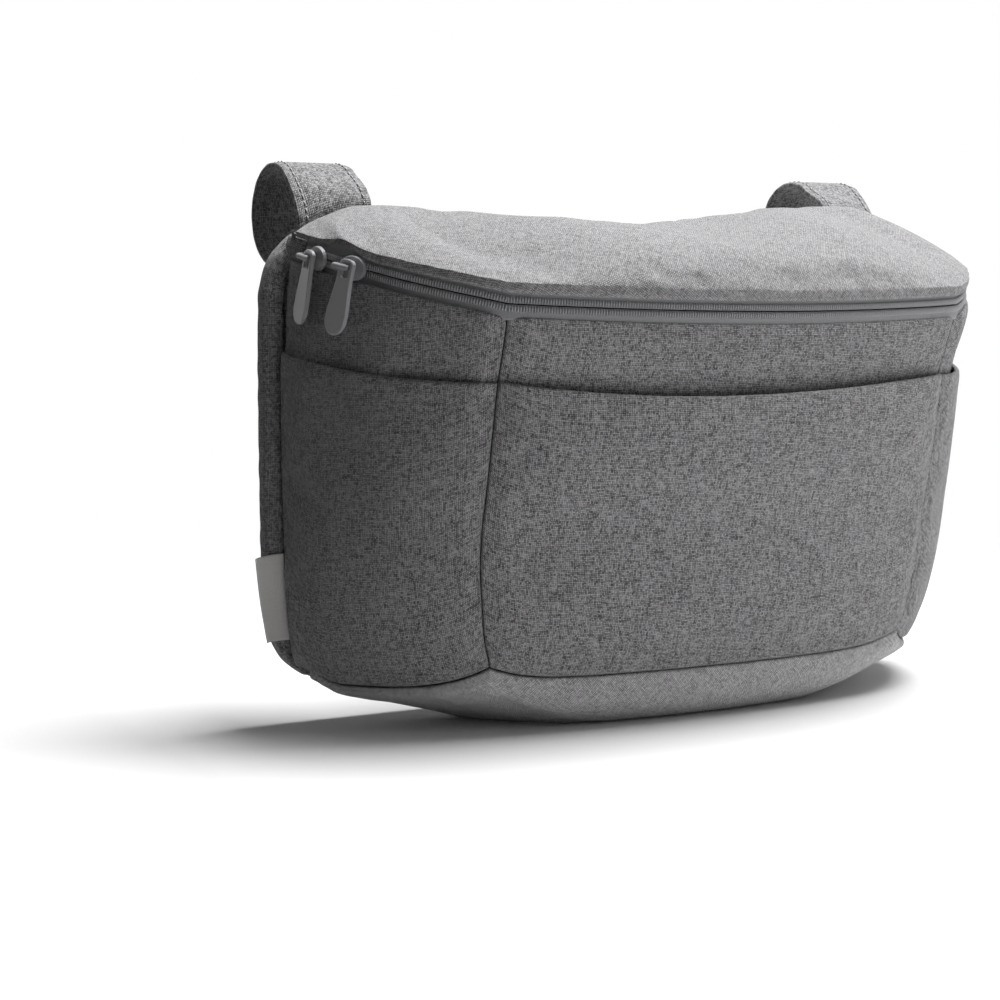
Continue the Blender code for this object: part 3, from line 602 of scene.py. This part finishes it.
# %% Pockets
def front_mouth(a):
    """Slack upper edge of the front pocket."""
    return 131.6 + 6.4 * a * a + 2.4 * a * (1 - a * a)


def side_mouth(a):
    """Upper edge of a side pocket, rising to the back."""
    return 137.6 + 12.0 * (np.abs(a) - 1.0) ** 1.8


def front_slack(u, v):
    """The front pocket stands off most at the middle of its mouth."""
    a = 2 * u - 1
    return 5.2 * (1 - a * a) * smooth((v - 0.45) / 0.5) + 0.6 * (1 - a ** 8)


def side_slack(u, v):
    """A side pocket stands off less."""
    return 1.3 * 4 * u * (1 - u) * smooth((v - 0.5) / 0.45)


front_pouch = wall_panel("front_pouch", FRONT_SPAN, FRONT_WIDE, (54, 28), "front_pocket", 7, front_mouth,
                         2 * GAP + 2.0, POCKET_T, front_slack, 0.006, 0.3)
for word, *span in SIDE_SPANS:
    side_pouch = wall_panel(word + "_side_pouch", span, SIDE_WIDE, (28, 32), word + "_side_pocket", 9,
                            side_mouth, 2.3, POCKET_T, side_slack, 0.006, 0.3)

# %% [markdown]
# ## Base
# The base is one padded piece turned up round its edge.  Going round and going in are its two directions,
# and the cloth map is the depth of cloth from the seam.  A bevelled box would be quicker, but its corners
# would not run with the seams of the walls.

# %% Base
def base_face(u, v):
    """From the seam down an upright lip, then in and down to the flat that the bag stands on."""
    a = np.clip(-2 + 5 * u, -2, 2) + 0 * v
    back_share = np.clip((u - 0.8) / 0.2, 0, 1) + 0 * v
    z_seam = bottom_z(a) - GAP - 8.0 * smooth(np.minimum(back_share, 1 - back_share) / 0.15)
    p = wall(a, bottom_z(a), 0.2 - 4.0 * smooth((np.abs(a) - 1.82) / 0.16))
    x = p[..., 0] * (1 - 2 * back_share)
    y = np.minimum(p[..., 1], BACK_Y)
    lip = 0.16                                 # share of the depth, and of the height, that stands upright
    swing = np.clip((v - lip) / (1 - lip), 0, 1) * np.pi / 2
    reach = 1 - np.cos(swing)
    ends = smooth((np.abs(x) - 60.0) / 70.0)
    drop = (1 - lip) * ((1 - ends) * (1 - np.sin(swing)) + ends * (1 - reach))
    drop = np.where(v < lip, 1 - lip * v / lip, drop)
    return np.stack([x * (1 - 0.4 * reach), y + (Y_CENTRE - y) * 0.4 * reach, z_seam * drop], axis=-1)


def base_floor(outer, rings):
    """Close the flat middle: rings that shrink to its centre."""
    edge = outer[:, -1]
    share = np.linspace(0, 1, rings + 1)[1:, None, None]
    centre = np.array([0.0, Y_CENTRE, 0.0])
    return np.transpose(edge[None] * (1 - share) + centre * share, (1, 0, 2))


us, vs = ruler(300, 0.0), ruler(44, 0.3)
outer = base_face(us[:, None], vs[None, :])
near_corner = np.minimum(np.abs(us - 0.8), np.minimum(us, 1 - us))
blend = (1 - smooth(near_corner / 0.02))[:, None, None]
ring = outer[:-1]
for _ in range(12):
    ring = (np.roll(ring, 1, axis=0) + 2 * ring + np.roll(ring, -1, axis=0)) / 4
outer = outer * (1 - blend) + np.concatenate([ring, ring[:1]]) * blend
for _ in range(8):
    outer[:, 1:-1] = (outer[:, :-2] + 2 * outer[:, 1:-1] + outer[:, 2:]) / 4
around, depth = run_of(outer[:, 0]), run_of(outer, 1)
normal = -grid_normals(outer, True)
fade = np.exp(-depth / 9.0) * smooth(depth / 2.0)
ends_meet = smooth(us / 0.02) * smooth((1 - us) / 0.02)
pucker = waves(around, 11, [8.0, 13.0, 21.0], [0.16, 0.2, 0.2]) * ends_meet
plump = 0.6 * smooth(depth / 8) * (1 - smooth((depth - 14) / 12))
outer = outer + normal * (pucker[:, None] * fade + roll(depth, 1.7, 1.0) + plump)[..., None]
outer[..., 2] = np.maximum(outer[..., 2], 0.0)
outer = np.concatenate([outer, base_floor(outer, 14)], axis=1)
uv = np.stack([np.broadcast_to(around[:, None], outer.shape[:2]), run_of(outer, 1)], axis=2)
base = shell("base_pad", outer, 2.8, base_cloth, uv=uv, wrap=True, flip=True)
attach(base, "bag")
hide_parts("base_panel")
print("base_pad", len(base.data.polygons), "faces")

# %% [markdown]
# ## Lid
# The lid is padded and domed.  Its lower edge is turned over the zip tape, which makes the thick rolled
# line, and its back edge is sewn along the top of the back.  A subdivided cage could dome it, but a
# formula keeps its front edge exactly on the zip and its back edge on the back panel.

# %% Lid
LID_END = 1.95
LIP, LIP_HIGH = 0.06, 2.4                      # share of the lid that is its rolled edge, and its height
KINK_A, KINK_WIDE, KINK_HIGH = -1.64, 0.09, 2.2
LID_FOLDS = [(-6.0, 1.6), (25.0, 1.3)]         # x and depth of each pinch at the back edge


def kink(a):
    """The short rise of the lid's edge over the front slider."""
    return KINK_HIGH * np.exp(-((a - KINK_A) / KINK_WIDE) ** 2)


def lid_face(u, v):
    """From the rolled edge over the zip, up and back to the top of the back panel."""
    a = (2 * u - 1) * LID_END + 0 * v
    z0 = zip_z(a) + ZIP_HALF_BAND + 0.7 + kink(a)
    edge = soft_wall(a, z0, 0.4)
    s = np.maximum(np.abs(a) - 1.0, 0.0) / (LID_END - 1)
    xk = np.sign(a) * (112.0 * np.minimum(np.abs(a), 1.0) + 42.0 * s)
    zk = back_top(xk)
    start = z0 + LIP_HIGH * (1 - 0.4 * s) * np.minimum(v / LIP, 1.0)
    t = np.clip((v - LIP) / (1 - LIP), 0, 1) ** 1.1
    corner = smooth((np.abs(a) - 0.45) / 0.6) - 0.35 * s
    run = t ** (1.45 - 0.45 * corner)
    rise = 1 - (1 - t) ** (1.75 - 0.75 * corner)
    dome = 2.0 * np.sin(np.pi * run) * (1 - s)
    x = edge[..., 0] + (xk - edge[..., 0]) * run
    y = edge[..., 1] + (BACK_Y - 3 * GAP - edge[..., 1]) * run
    z = start + (zk - start) * rise + dome
    return np.stack([x, y, z], axis=-1)


us, vs = ruler(300, 0.5), ruler(120, 0.5)
outer = lid_face(us[:, None], vs[None, :])
give = smooth(vs / 0.2) * smooth((1 - vs) / 0.1) * (smooth(us / 0.12) * smooth((1 - us) / 0.12))[:, None]
outer = outer + settle(lid_face, (80, 26), 0.006, 0.5, 3.0, stiff=8.0)(us, vs) * give[..., None]
depth = run_of(outer, 1)
back_depth = depth[:, -1:] - depth
around = run_of(outer[:, 0])[:, None]
normal = grid_normals(outer, False)
lift = roll(back_depth, 2.0, 2.0) * smooth(depth[:, -1:] / 30.0)
front_pucker = waves(around, 21, [9.0, 14.0, 23.0], [0.12, 0.16, 0.2])
back_pucker = waves(outer[..., 0], 23, [15.0, 27.0, 44.0], [0.15, 0.25, 0.3])
lift = lift + front_pucker * np.exp(-depth / 8.0) * smooth(depth / 2.0)
lift = lift + back_pucker * np.exp(-back_depth / 12.0) * smooth(back_depth / 2.0)
for fold_x, deep in LID_FOLDS:
    away = outer[..., 0] - fold_x - 0.25 * back_depth
    lift = lift - deep * np.exp(-(away / 2.6) ** 2) * np.exp(-back_depth / 9.0) * smooth(back_depth / 1.5)
outer = outer + normal * lift[..., None]
depth = run_of(outer, 1)
back_edge = outer[:, -1:, :2]
heading = outer[:, :1, :2] - back_edge
heading /= np.linalg.norm(heading, axis=2, keepdims=True)
uv = back_edge + heading * (depth[:, -1:] - depth)[..., None]
to_end = LID_END * (1 - np.abs(2 * us[:, None] - 1))
lid_thick = 1.0 + 2.6 * smooth(to_end / 0.45) + 0 * vs[None, :]
lid = shell("lid_pad", outer, lid_thick, lid_cloth_painted_light, uv=uv)
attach(lid, "bag")
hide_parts("lid_panel")
print("lid_pad", len(lid.data.polygons), "faces")

# %% [markdown]
# ## Zip
# A coil zip: two woven tapes, each with a nylon coil sewn along its edge.  The coils are bent wire, so each
# tooth is one short rounded bar, repeated along the path at the coil's real pitch.  An array on a curve
# would do it too, but places at equal lengths keep the pitch even round the corners.

# %% Tapes
def zip_point(a, up, out):
    """A point beside the zip's centre line: up across the zip, out square to the bag."""
    p = soft_wall(a, zip_z(a) + 0 * up, out + zip_wave(a))
    p[..., 2] += up
    return p


for word, low, high in (("lower", -ZIP_HALF_BAND - 1.0, -0.45), ("upper", 0.45, ZIP_HALF_BAND + 0.6)):
    us, vs = np.linspace(-ZIP_END, ZIP_END, 361), np.linspace(low, high, 9)
    up = vs[None, :] + kink(us)[:, None] * np.maximum(vs[None, :], 0) / ZIP_HALF_BAND
    tape = shell("zip_tape_" + word + "_cloth", zip_point(us[:, None], up, -1.6), 0.6, tape_cloth)
    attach(tape, "bag")
    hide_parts("zip_tape_" + word)
    print(tape.name, len(tape.data.polygons), "faces")

# %% Teeth
TOOTH_PITCH, TOOTH_TALL = 1.1, 2.5
SIDES, STATIONS = 6, 5


def tooth_bar():
    """One tooth: a bar that rises over the tape and thins towards both ends, as rings of points."""
    t = np.linspace(0, 1, STATIONS)
    angle = np.arange(SIDES) * 2 * np.pi / SIDES
    width = 0.31 * np.sin(np.pi * (0.12 + 0.76 * t)) ** 0.5
    height = 1.25 * np.sin(np.pi * (0.1 + 0.8 * t)) ** 0.7
    x = width[:, None] * np.cos(angle)
    y = (t * TOOTH_TALL)[:, None] + 0 * x
    z = (height * 0.55)[:, None] + 0.45 * np.sin(angle)
    points = np.stack([x, y, z], axis=-1).reshape(-1, 3)
    ring = np.arange(SIDES)
    faces = [np.stack([ring + SIDES * k, np.roll(ring, -1) + SIDES * k,
                       np.roll(ring, -1) + SIDES * (k + 1), ring + SIDES * (k + 1)], axis=1)
             for k in range(STATIONS - 1)]
    return points, np.concatenate(faces)


def coil(word, side):
    """Teeth copied along the zip: places at equal steps of length, each turned to the zip's own frame."""
    fine = np.linspace(-ZIP_END, ZIP_END, 4001)
    line = zip_point(fine, 0.0 * fine, 0.0)
    length = run_of(line)
    count = int(length[-1] / TOOTH_PITCH)
    at = np.interp((np.arange(count) + (0.5 if side > 0 else 0.0)) * TOOTH_PITCH, length, fine)
    here, there = zip_point(at, 0.0 * at, -1.5), zip_point(at + 0.001, 0.0 * at, -1.5)
    along = (there - here) / np.linalg.norm(there - here, axis=1, keepdims=True)
    out = np.cross(along, [0, 0, 1.0])
    out /= np.linalg.norm(out, axis=1, keepdims=True)
    up = np.cross(out, along)
    points, faces = tooth_bar()
    spot = (here[:, None] + along[:, None] * points[:, :1] + up[:, None] * side * (0.35 + points[:, 1:2])
            + out[:, None] * points[:, 2:])
    every = (faces[None] + (np.arange(count) * len(points))[:, None, None]).reshape(-1, 4)
    caps = []
    for k in (0, STATIONS - 1):
        ring = np.arange(SIDES) + SIDES * k
        caps += [list(map(int, ring + i * len(points))) for i in range(count)]
    piece = mesh_object("zip_teeth_" + word, spot.reshape(-1, 3), every.tolist() + caps, None, coil_nylon)
    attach(piece, "bag")
    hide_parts("zip_coil_" + word)
    print("zip_teeth_" + word, count, "teeth")


coil("lower", -1)
coil("upper", 1)

# %% Fabric patches over the zip's ends
for side, word in ((-1, "left"), (1, "right")):
    us, vs = np.linspace(0, 1, 25), np.linspace(0, 1, 25)
    a = side * (ZIP_END + 0.008 + (1.985 - ZIP_END) * us[:, None])
    if side < 0:
        a = a[::-1]
    puff = 1.2 * np.sin(np.pi * vs[None, :])
    outer = wall(a, zip_z(a) + 0 * puff, -0.9 + puff)
    outer[..., 2] += -ZIP_HALF_BAND + GAP + (2 * ZIP_HALF_BAND - 1.2) * vs[None, :]
    patch = shell(word + "_zip_patch", outer, 1.4, twill_cloth)
    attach(patch, "bag")
    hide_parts(word + "_zip_end_patch")
    print(patch.name, len(patch.data.polygons), "faces")

# %% [markdown]
# ## Back
# The back panel is a flat foam pad.  Its sides are bound with a folded strip of the same cloth.  The pad
# could be a bevelled plate, but foam turns in at a seam on a fuller curve than a bevel has.

# %% Back panel
PAD_HALF = 156.0
PAD_LOW_X, PAD_LOW_Z = [0, 60, 110, 135, 149, 157], [14.0, 14.5, 15.0, 16.5, 19.5, 25.5]
PAD_HIGH_X = [0, 60, 95, 116, 128, 136, 143, 148, 152, 156]
PAD_HIGH_Z = [201.6, 202.9, 205.1, 206.9, 206.1, 203.6, 200.6, 197.4, 193.0, 187.0]

us, vs = ruler(150, 0.5), ruler(100, 0.5)
x = (2 * us[:, None] - 1) * PAD_HALF + 0 * vs[None, :]
low = through(np.abs(x), PAD_LOW_X, PAD_LOW_Z) + 0.4
high = through(np.abs(x), PAD_HIGH_X, PAD_HIGH_Z) + shoulder(x)
z = low + (high - low) * vs[None, :]
nearest = np.minimum(np.minimum(z - low, high - z), PAD_HALF - np.abs(x))
puff = 4.5 + roll(nearest, 3.0, 3.6) + 0.5 * smooth(nearest / 20)
back_face = np.stack([x, BACK_Y + 5.5 + puff, z], axis=-1)[::-1]
front_face = np.stack([x, BACK_Y + 5.5 - puff * 0.98, z], axis=-1)[::-1]
nu, nv = back_face.shape[0] - 1, back_face.shape[1] - 1
index = np.arange((nu + 1) * (nv + 1)).reshape(nu + 1, nv + 1)
count = index.size
ring = np.append(edge_ring(nu, nv), 0)
side_faces = np.stack([ring[:-1], ring[:-1] + count, ring[1:] + count, ring[1:]], axis=1)
points = np.concatenate([back_face.reshape(-1, 3), front_face.reshape(-1, 3)])
faces = np.concatenate([quads(index), quads(index + count)[:, ::-1], side_faces])
uv = np.tile(np.stack([x, z], axis=-1)[::-1].reshape(-1, 2), (2, 1))
back = mesh_object("back_pad", points, faces, uv, body_cloth_painted_shade)
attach(back, "bag")
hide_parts("back_panel")
print("back_pad", len(back.data.polygons), "faces")

# %% Bindings
# Outer edge of a binding as x and z, from the lower corner up the side to the shoulder.
BINDING_EDGE = [(149, 19.5), (157, 25.5), (162, 34.0), (164.6, 46.0), (165.5, 62.0), (165.8, 90.0),
                (165.8, 130.0), (165.4, 160.0), (164.4, 176.0), (161.3, 185.0), (156.5, 191.4), (150.0, 196.6)]
BINDING_W, BINDING_HALF_T = 9.0, 4.7

edge = np.array(BINDING_EDGE)
run = run_of(edge)
along = np.linspace(0, run[-1], 181)
path = np.stack([through(along, run, edge[:, 0]), 0 * along, through(along, run, edge[:, 1])], axis=1)
tangent = np.gradient(path, axis=0)
tangent /= np.linalg.norm(tangent, axis=1, keepdims=True)
inward = np.stack([-tangent[:, 2], 0 * along, tangent[:, 0]], axis=1)
# The section is a rounded oblong: cosine and sine to the power 0.6, carried along the edge.
turn = np.linspace(0, 2 * np.pi, 41)
profile = np.stack([np.sign(np.cos(turn)) * np.abs(np.cos(turn)) ** 0.6 * BINDING_W / 2,
                    np.sign(np.sin(turn)) * np.abs(np.sin(turn)) ** 0.6 * BINDING_HALF_T], axis=1)
girth = run_of(profile)
for side, word in ((-1, "left"), (1, "right")):
    line = path + inward * BINDING_W / 2
    line[:, 1] = BACK_Y + 5.7
    mirrored, lean = line * [side, 1, 1], inward * [side, 1, 1]
    ripple = 1 + 0.012 * waves(along, 31, [9.0, 15.0], [1.0, 1.4])[:, None]
    rings = (mirrored[:, None] + (lean * ripple)[:, None] * profile[None, :, :1]
             + (np.array([[0, 1.0, 0]]) * ripple)[:, None] * profile[None, :, 1:2])
    index = np.arange(rings.shape[0] * rings.shape[1]).reshape(rings.shape[:2])
    faces = quads(index).tolist() + [index[0, :-1].tolist(), index[-1, :-1].tolist()]
    uv = np.stack([np.broadcast_to(girth, index.shape),
                   np.broadcast_to(along[:, None], index.shape)], axis=-1)
    piece = mesh_object(word + "_binding", rings.reshape(-1, 3), faces, uv.reshape(-1, 2), twill_cloth)
    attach(piece, "bag")
    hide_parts(word + "_back_binding")
    print(piece.name, len(piece.data.polygons), "faces")

# %% [markdown]
# ## Strap loops
# Each strap is a folded strip, stitched along both edges.  It leaves the top of the back, goes round in a
# loop and comes down the back to its hook-and-loop patch.  A flat curve could carry it, but a grid lets it
# thin towards its edges, dip under its stitches and end on the slope of the back.

# %% Straps
LOOP_Y, LOOP_Z, LOOP_D = 115.5, 205.0, 35.0
STRAP_T, STRAP_W, STRAP_X = 3.0, 32.0, 132.0
STITCH_OUT = 12.2                              # stitch rows to either side of the strap's middle
STRAP_R = LOOP_D / 2 + 0.8 + STRAP_T / 2
STRAP_TAIL_Z, STRAP_BACK_Y = 140.0, BACK_Y + 1.0 + 9.0 + 2 * GAP + 2.0 + GAP + STRAP_T / 2


def strap_line():
    """Side view of the strap's middle: up from the back's top edge, round the loop, down the back."""
    angle = np.radians(np.arange(128, -91, -14))
    bend = np.stack([LOOP_Y + STRAP_R * np.cos(angle), LOOP_Z + STRAP_R * np.sin(angle)], axis=1)
    start = np.array([[89.4, 207.5], [90.0, 211.0]])
    last = np.array([[LOOP_Y - 7.0, LOOP_Z - STRAP_R - 0.6], [STRAP_BACK_Y + 4.2, LOOP_Z - STRAP_R - 3.6],
                     [STRAP_BACK_Y + 1.0, LOOP_Z - STRAP_R - 8.0], [STRAP_BACK_Y, LOOP_Z - STRAP_R - 13.5],
                     [STRAP_BACK_Y, 155.0], [STRAP_BACK_Y, STRAP_TAIL_Z]])
    pts = np.concatenate([start, bend, last])
    run = run_of(pts)
    even = np.linspace(0, run[-1], 261)
    return np.stack([through(even, run, pts[:, 0]), through(even, run, pts[:, 1])], axis=1), even


def stitches(path, outwards, pitch=3.2, length=2.4):
    """Thread along a path: each stitch is a bar that rises out of the cloth and dips back in, as rings."""
    run = run_of(path)
    middle = np.arange(pitch, run[-1] - pitch, pitch)
    t = np.linspace(-0.5, 0.5, 5)
    at = middle[:, None] + t * length
    spine = np.stack([np.interp(at, run, path[:, k]) for k in range(3)], axis=-1)
    out = np.stack([np.interp(at, run, outwards[:, k]) for k in range(3)], axis=-1)
    spine = spine + out * (0.05 + 0.35 * np.cos(np.pi * t))[None, :, None]
    angle = np.arange(6) * np.pi / 3
    width = (0.12 + 0.26 * np.cos(np.pi * t) ** 0.5)[None, :, None, None]
    side = np.array([1.0, 0, 0])
    rings = spine[:, :, None] + width * (np.cos(angle)[:, None] * side
                                         + np.sin(angle)[:, None] * out[:, :, None])
    index = np.arange(rings[..., 0].size).reshape(rings.shape[:3])
    turned = np.roll(index, -1, axis=2)
    faces = np.stack([index[:, :-1], turned[:, :-1], turned[:, 1:], index[:, 1:]], axis=-1).reshape(-1, 4)
    caps = np.concatenate([index[:, 0], index[:, -1]])
    return rings.reshape(-1, 3), faces.tolist() + caps.tolist()


line, even = strap_line()
tangent = np.gradient(line, axis=0)
tangent /= np.linalg.norm(tangent, axis=1, keepdims=True)
outside = np.stack([-tangent[:, 1], tangent[:, 0]], axis=1)
across = ruler(36, 0.6) - 0.5
swell = 1 - 0.45 * np.abs(2 * across) ** 8
for side, word in ((-1, "left"), (1, "right")):
    x = side * STRAP_X + across[None, :] * STRAP_W + 0 * even[:, None]
    stitch = 0.35 * np.exp(-((np.abs(across) * STRAP_W - STITCH_OUT) / 0.7) ** 2)
    half = (STRAP_T / 2 * swell - stitch)[None, :] + 0.06 * waves(even, 41, [7.0, 12.0], [1, 1])[:, None]
    drop = np.maximum(210.0 - back_top(x), 0) * (1 - smooth(even / 22.0))[:, None]
    middle = np.stack([x, line[:, None, 0] + 0 * x, line[:, None, 1] - drop], axis=-1)
    square = np.stack([0 * x, outside[:, None, 0] + 0 * x, outside[:, None, 1] + 0 * x], axis=-1)
    top, under = middle + square * half[..., None], middle - square * half[..., None]
    index = np.arange(x.size).reshape(x.shape)
    ring = np.append(edge_ring(x.shape[0] - 1, x.shape[1] - 1), 0)
    rim = np.stack([ring[:-1], ring[1:], ring[1:] + x.size, ring[:-1] + x.size], axis=1)
    faces = np.concatenate([quads(index), quads(index + x.size)[:, ::-1], rim]).tolist()
    points = [top.reshape(-1, 3), under.reshape(-1, 3)]
    total, plain = 2 * x.size, len(faces)
    for reach in (-STITCH_OUT, STITCH_OUT):
        column = np.argmin(np.abs(across * STRAP_W - reach))
        more, more_faces = stitches(top[:, column], square[:, column])
        faces += [[number + total for number in face] for face in more_faces]
        points.append(more)
        total += len(more)
    uv = np.zeros((total, 2))
    cloth = np.stack([x, np.broadcast_to(even[:, None], x.shape)], axis=-1)
    uv[:2 * x.size] = np.tile(cloth.reshape(-1, 2), (2, 1))
    piece = mesh_object(word + "_loop_strap", np.concatenate(points), faces, uv, twill_cloth)
    piece.data.materials.append(sewing_thread)
    number = np.arange(len(piece.data.polygons))
    piece.data.polygons.foreach_set("material_index", (number >= plain).astype(np.int32))
    print(piece.name, len(number) - plain, "faces of thread")
    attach(piece, "bag")
    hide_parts(word + "_strap")

# %% [markdown]
# ## Label
# A short ribbon is folded into the left back seam.  One flat face could stand for it, but a thin shell bent
# on an arc has the ribbon's thickness, and its shade changes across it as the real one's does.

# %% Label
LABEL_LOW, LABEL_TALL, LABEL_WIDE = 35.5, 33.5, 16.5
us, vs = np.linspace(0, 1, 25), np.linspace(0, 1, 31)
u, v = us[:, None], vs[None, :]
z = LABEL_LOW + LABEL_TALL * v
root = -through(z, BACK_Z, BACK_X) + 0.4
# It leaves the seam sideways and bends forward on an arc: its width over the arc's radius is its turn.
bend = 16.0 + 2.5 * v
turned = LABEL_WIDE * (1 - u) / bend
outer = np.stack([root - bend * np.sin(turned) + 1.6 * (1 - v),
                  BACK_Y - 0.3 - bend * (1 - np.cos(turned)),
                  z + 1.5 * (0.5 - u) * (0.5 - v)], axis=-1)
label = shell("sewn_label", outer, 0.6, label_cloth)
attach(label, "bag")
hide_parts("side_label")
print("sewn_label", len(label.data.polygons), "faces")

# %% [markdown]
# ## Pieces that keep their solid
# The sliders and pulls are hard castings, and the lining and the hook-and-loop patches are hardly seen.
# They could be modelled again, but their solids already have the right shapes, so only the finish changes.

# %% Finishes of the pieces that keep their solid
for name, material in (("zip_slider_front", zinc_paint), ("zip_slider_rear", zinc_paint),
                       ("zip_pull_front", zinc_paint), ("zip_pull_rear", zinc_paint), ("lining", lining_cloth),
                       ("left_hook_patch", hook_loop), ("right_hook_patch", hook_loop),
                       ("left_loop_patch", hook_loop), ("right_loop_patch", hook_loop)):
    nodes[name].data.materials.clear()
    nodes[name].data.materials.append(material)
    print(name, "in", material.name)

# %% [markdown]
# ## Stage, light and camera
# A white floor and background, one large soft light above, a weak one in front to the right, a dim even
# world, and a black card on the left that keeps bounced light off that side.  Many lamps could shape the
# cloth more, but few and soft ones show its own colour.  The camera looks from the front left, a little
# above.

# %% Floor and backdrop
floor_mesh = bpy.data.meshes.new("floor")
FLOOR = 6.0                                    # metres from its middle to each side
FADE_FROM, FADE_TO = 0.28, 0.75                # metres from the bag at which the floor turns plain white
corners = [(-FLOOR, -FLOOR, 0), (FLOOR, -FLOOR, 0), (FLOOR, FLOOR, 0), (-FLOOR, FLOOR, 0)]
floor_mesh.from_pydata(corners, [], [(0, 1, 2, 3)])
floor = bpy.data.objects.new("floor", floor_mesh)
bpy.context.scene.collection.objects.link(floor)
floor_paint, tree, shader = finish("matt white floor", "F0F0F0", rough=0.9)
place = add(tree, "ShaderNodeTexCoord").outputs["Object"]
distance = add(tree, "ShaderNodeVectorMath", {0: place}, operation="LENGTH").outputs["Value"]
far = add(tree, "ShaderNodeMapRange", {0: distance, 1: FADE_FROM, 2: FADE_TO},
          interpolation_type="SMOOTHSTEP").outputs[0]
ray = add(tree, "ShaderNodeLightPath").outputs["Is Camera Ray"]
share = add(tree, "ShaderNodeMath", {0: far, 1: ray}, operation="MULTIPLY").outputs[0]
glow = add(tree, "ShaderNodeEmission", {"Color": (1, 1, 1, 1), "Strength": 1.0})
both = add(tree, "ShaderNodeMixShader", {0: share, 1: shader.outputs[0], 2: glow.outputs[0]})
tree.links.new(both.outputs[0], tree.nodes["Material Output"].inputs["Surface"])
floor_mesh.materials.append(floor_paint)
floor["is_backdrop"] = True
print("floor", 2 * FLOOR, "m wide")

# %% World
world = bpy.data.worlds.new("studio")
bpy.context.scene.world = world
world.use_nodes = True
tree = world.node_tree
tree.nodes.clear()
path = add(tree, "ShaderNodeLightPath")
seen = add(tree, "ShaderNodeMath", {0: path.outputs["Is Camera Ray"], 1: path.outputs["Is Glossy Ray"]},
           operation="ADD")
seen = add(tree, "ShaderNodeMath", {0: seen.outputs[0], 1: path.outputs["Is Transmission Ray"]},
           operation="ADD", use_clamp=True)
WORLD_LIGHT = 0.08
dim = add(tree, "ShaderNodeBackground", {"Color": (1, 1, 1, 1), "Strength": WORLD_LIGHT})
white = add(tree, "ShaderNodeBackground", {"Color": (1, 1, 1, 1), "Strength": 1.0})
mix = add(tree, "ShaderNodeMixShader", {0: seen.outputs[0], 1: dim.outputs[0], 2: white.outputs[0]})
add(tree, "ShaderNodeOutputWorld", {0: mix.outputs[0]})
print("world lights at", WORLD_LIGHT, "and shows white")

# %% Lamps
def softbox(name, place, target, size, power):
    """A square area light at place that looks at target."""
    data = bpy.data.lights.new(name, "AREA")
    data.shape = "SQUARE"
    data.size = size
    data.energy = power
    obj = bpy.data.objects.new(name, data)
    obj.location = place
    obj.rotation_euler = (Vector(target) - Vector(place)).to_track_quat("-Z", "Y").to_euler()
    bpy.context.scene.collection.objects.link(obj)
    return obj


softbox("overhead", (0.35, -0.05, 1.4), (0, 0, 0.12), 0.8, 38.0)
softbox("front right", (1.1, -1.2, 0.7), (0, 0, 0.12), 0.7, 2.0)
card_mesh = bpy.data.meshes.new("black card")
corners = [(-0.24, -0.45, 0.0), (-0.20, 0.30, 0.0), (-0.20, 0.30, 0.6), (-0.24, -0.45, 0.6)]
card_mesh.from_pydata(corners, [], [(0, 1, 2, 3)])
card = bpy.data.objects.new("black card", card_mesh)
bpy.context.scene.collection.objects.link(card)
card_mesh.materials.append(finish("black card", "000000", rough=1.0)[0])
card.visible_camera = card.visible_shadow = card.visible_glossy = False
card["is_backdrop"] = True
print(len(bpy.data.lights), "lamps and a card")

# %% Camera
AZIMUTH, ELEVATION, ROLL = -30.0, 4.47, -0.36
CAMERA_AT = (-0.4989, -0.7237, 0.1550)
FOCAL, SENSOR = 75.6, 36.0                     # mm; a long lens, so the far side shrinks only a little
camera = bpy.data.objects.new("camera", bpy.data.cameras.new("camera"))
bpy.context.scene.collection.objects.link(camera)
camera.data.lens = FOCAL
camera.data.sensor_width = SENSOR
camera.data.clip_start = 0.01
az, el, ro = (math.radians(x) for x in (AZIMUTH, ELEVATION, ROLL))
backward = Vector((math.sin(az) * math.cos(el), -math.cos(az) * math.cos(el), math.sin(el)))
right = Vector((math.cos(az), math.sin(az), 0))
upward = backward.cross(right)
rolled = right * math.cos(ro) + upward * math.sin(ro)
turned = Matrix((rolled, backward.cross(rolled), backward)).transposed().to_4x4()
camera.matrix_world = Matrix.Translation(CAMERA_AT) @ turned
bpy.context.scene.camera = camera
bpy.context.scene.view_settings.view_transform = "Standard"
print("camera at", CAMERA_AT, "m")

# %% Sizes and the end
low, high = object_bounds()
print("visual model", [round(x * 1000, 1) for x in high - low], "mm")
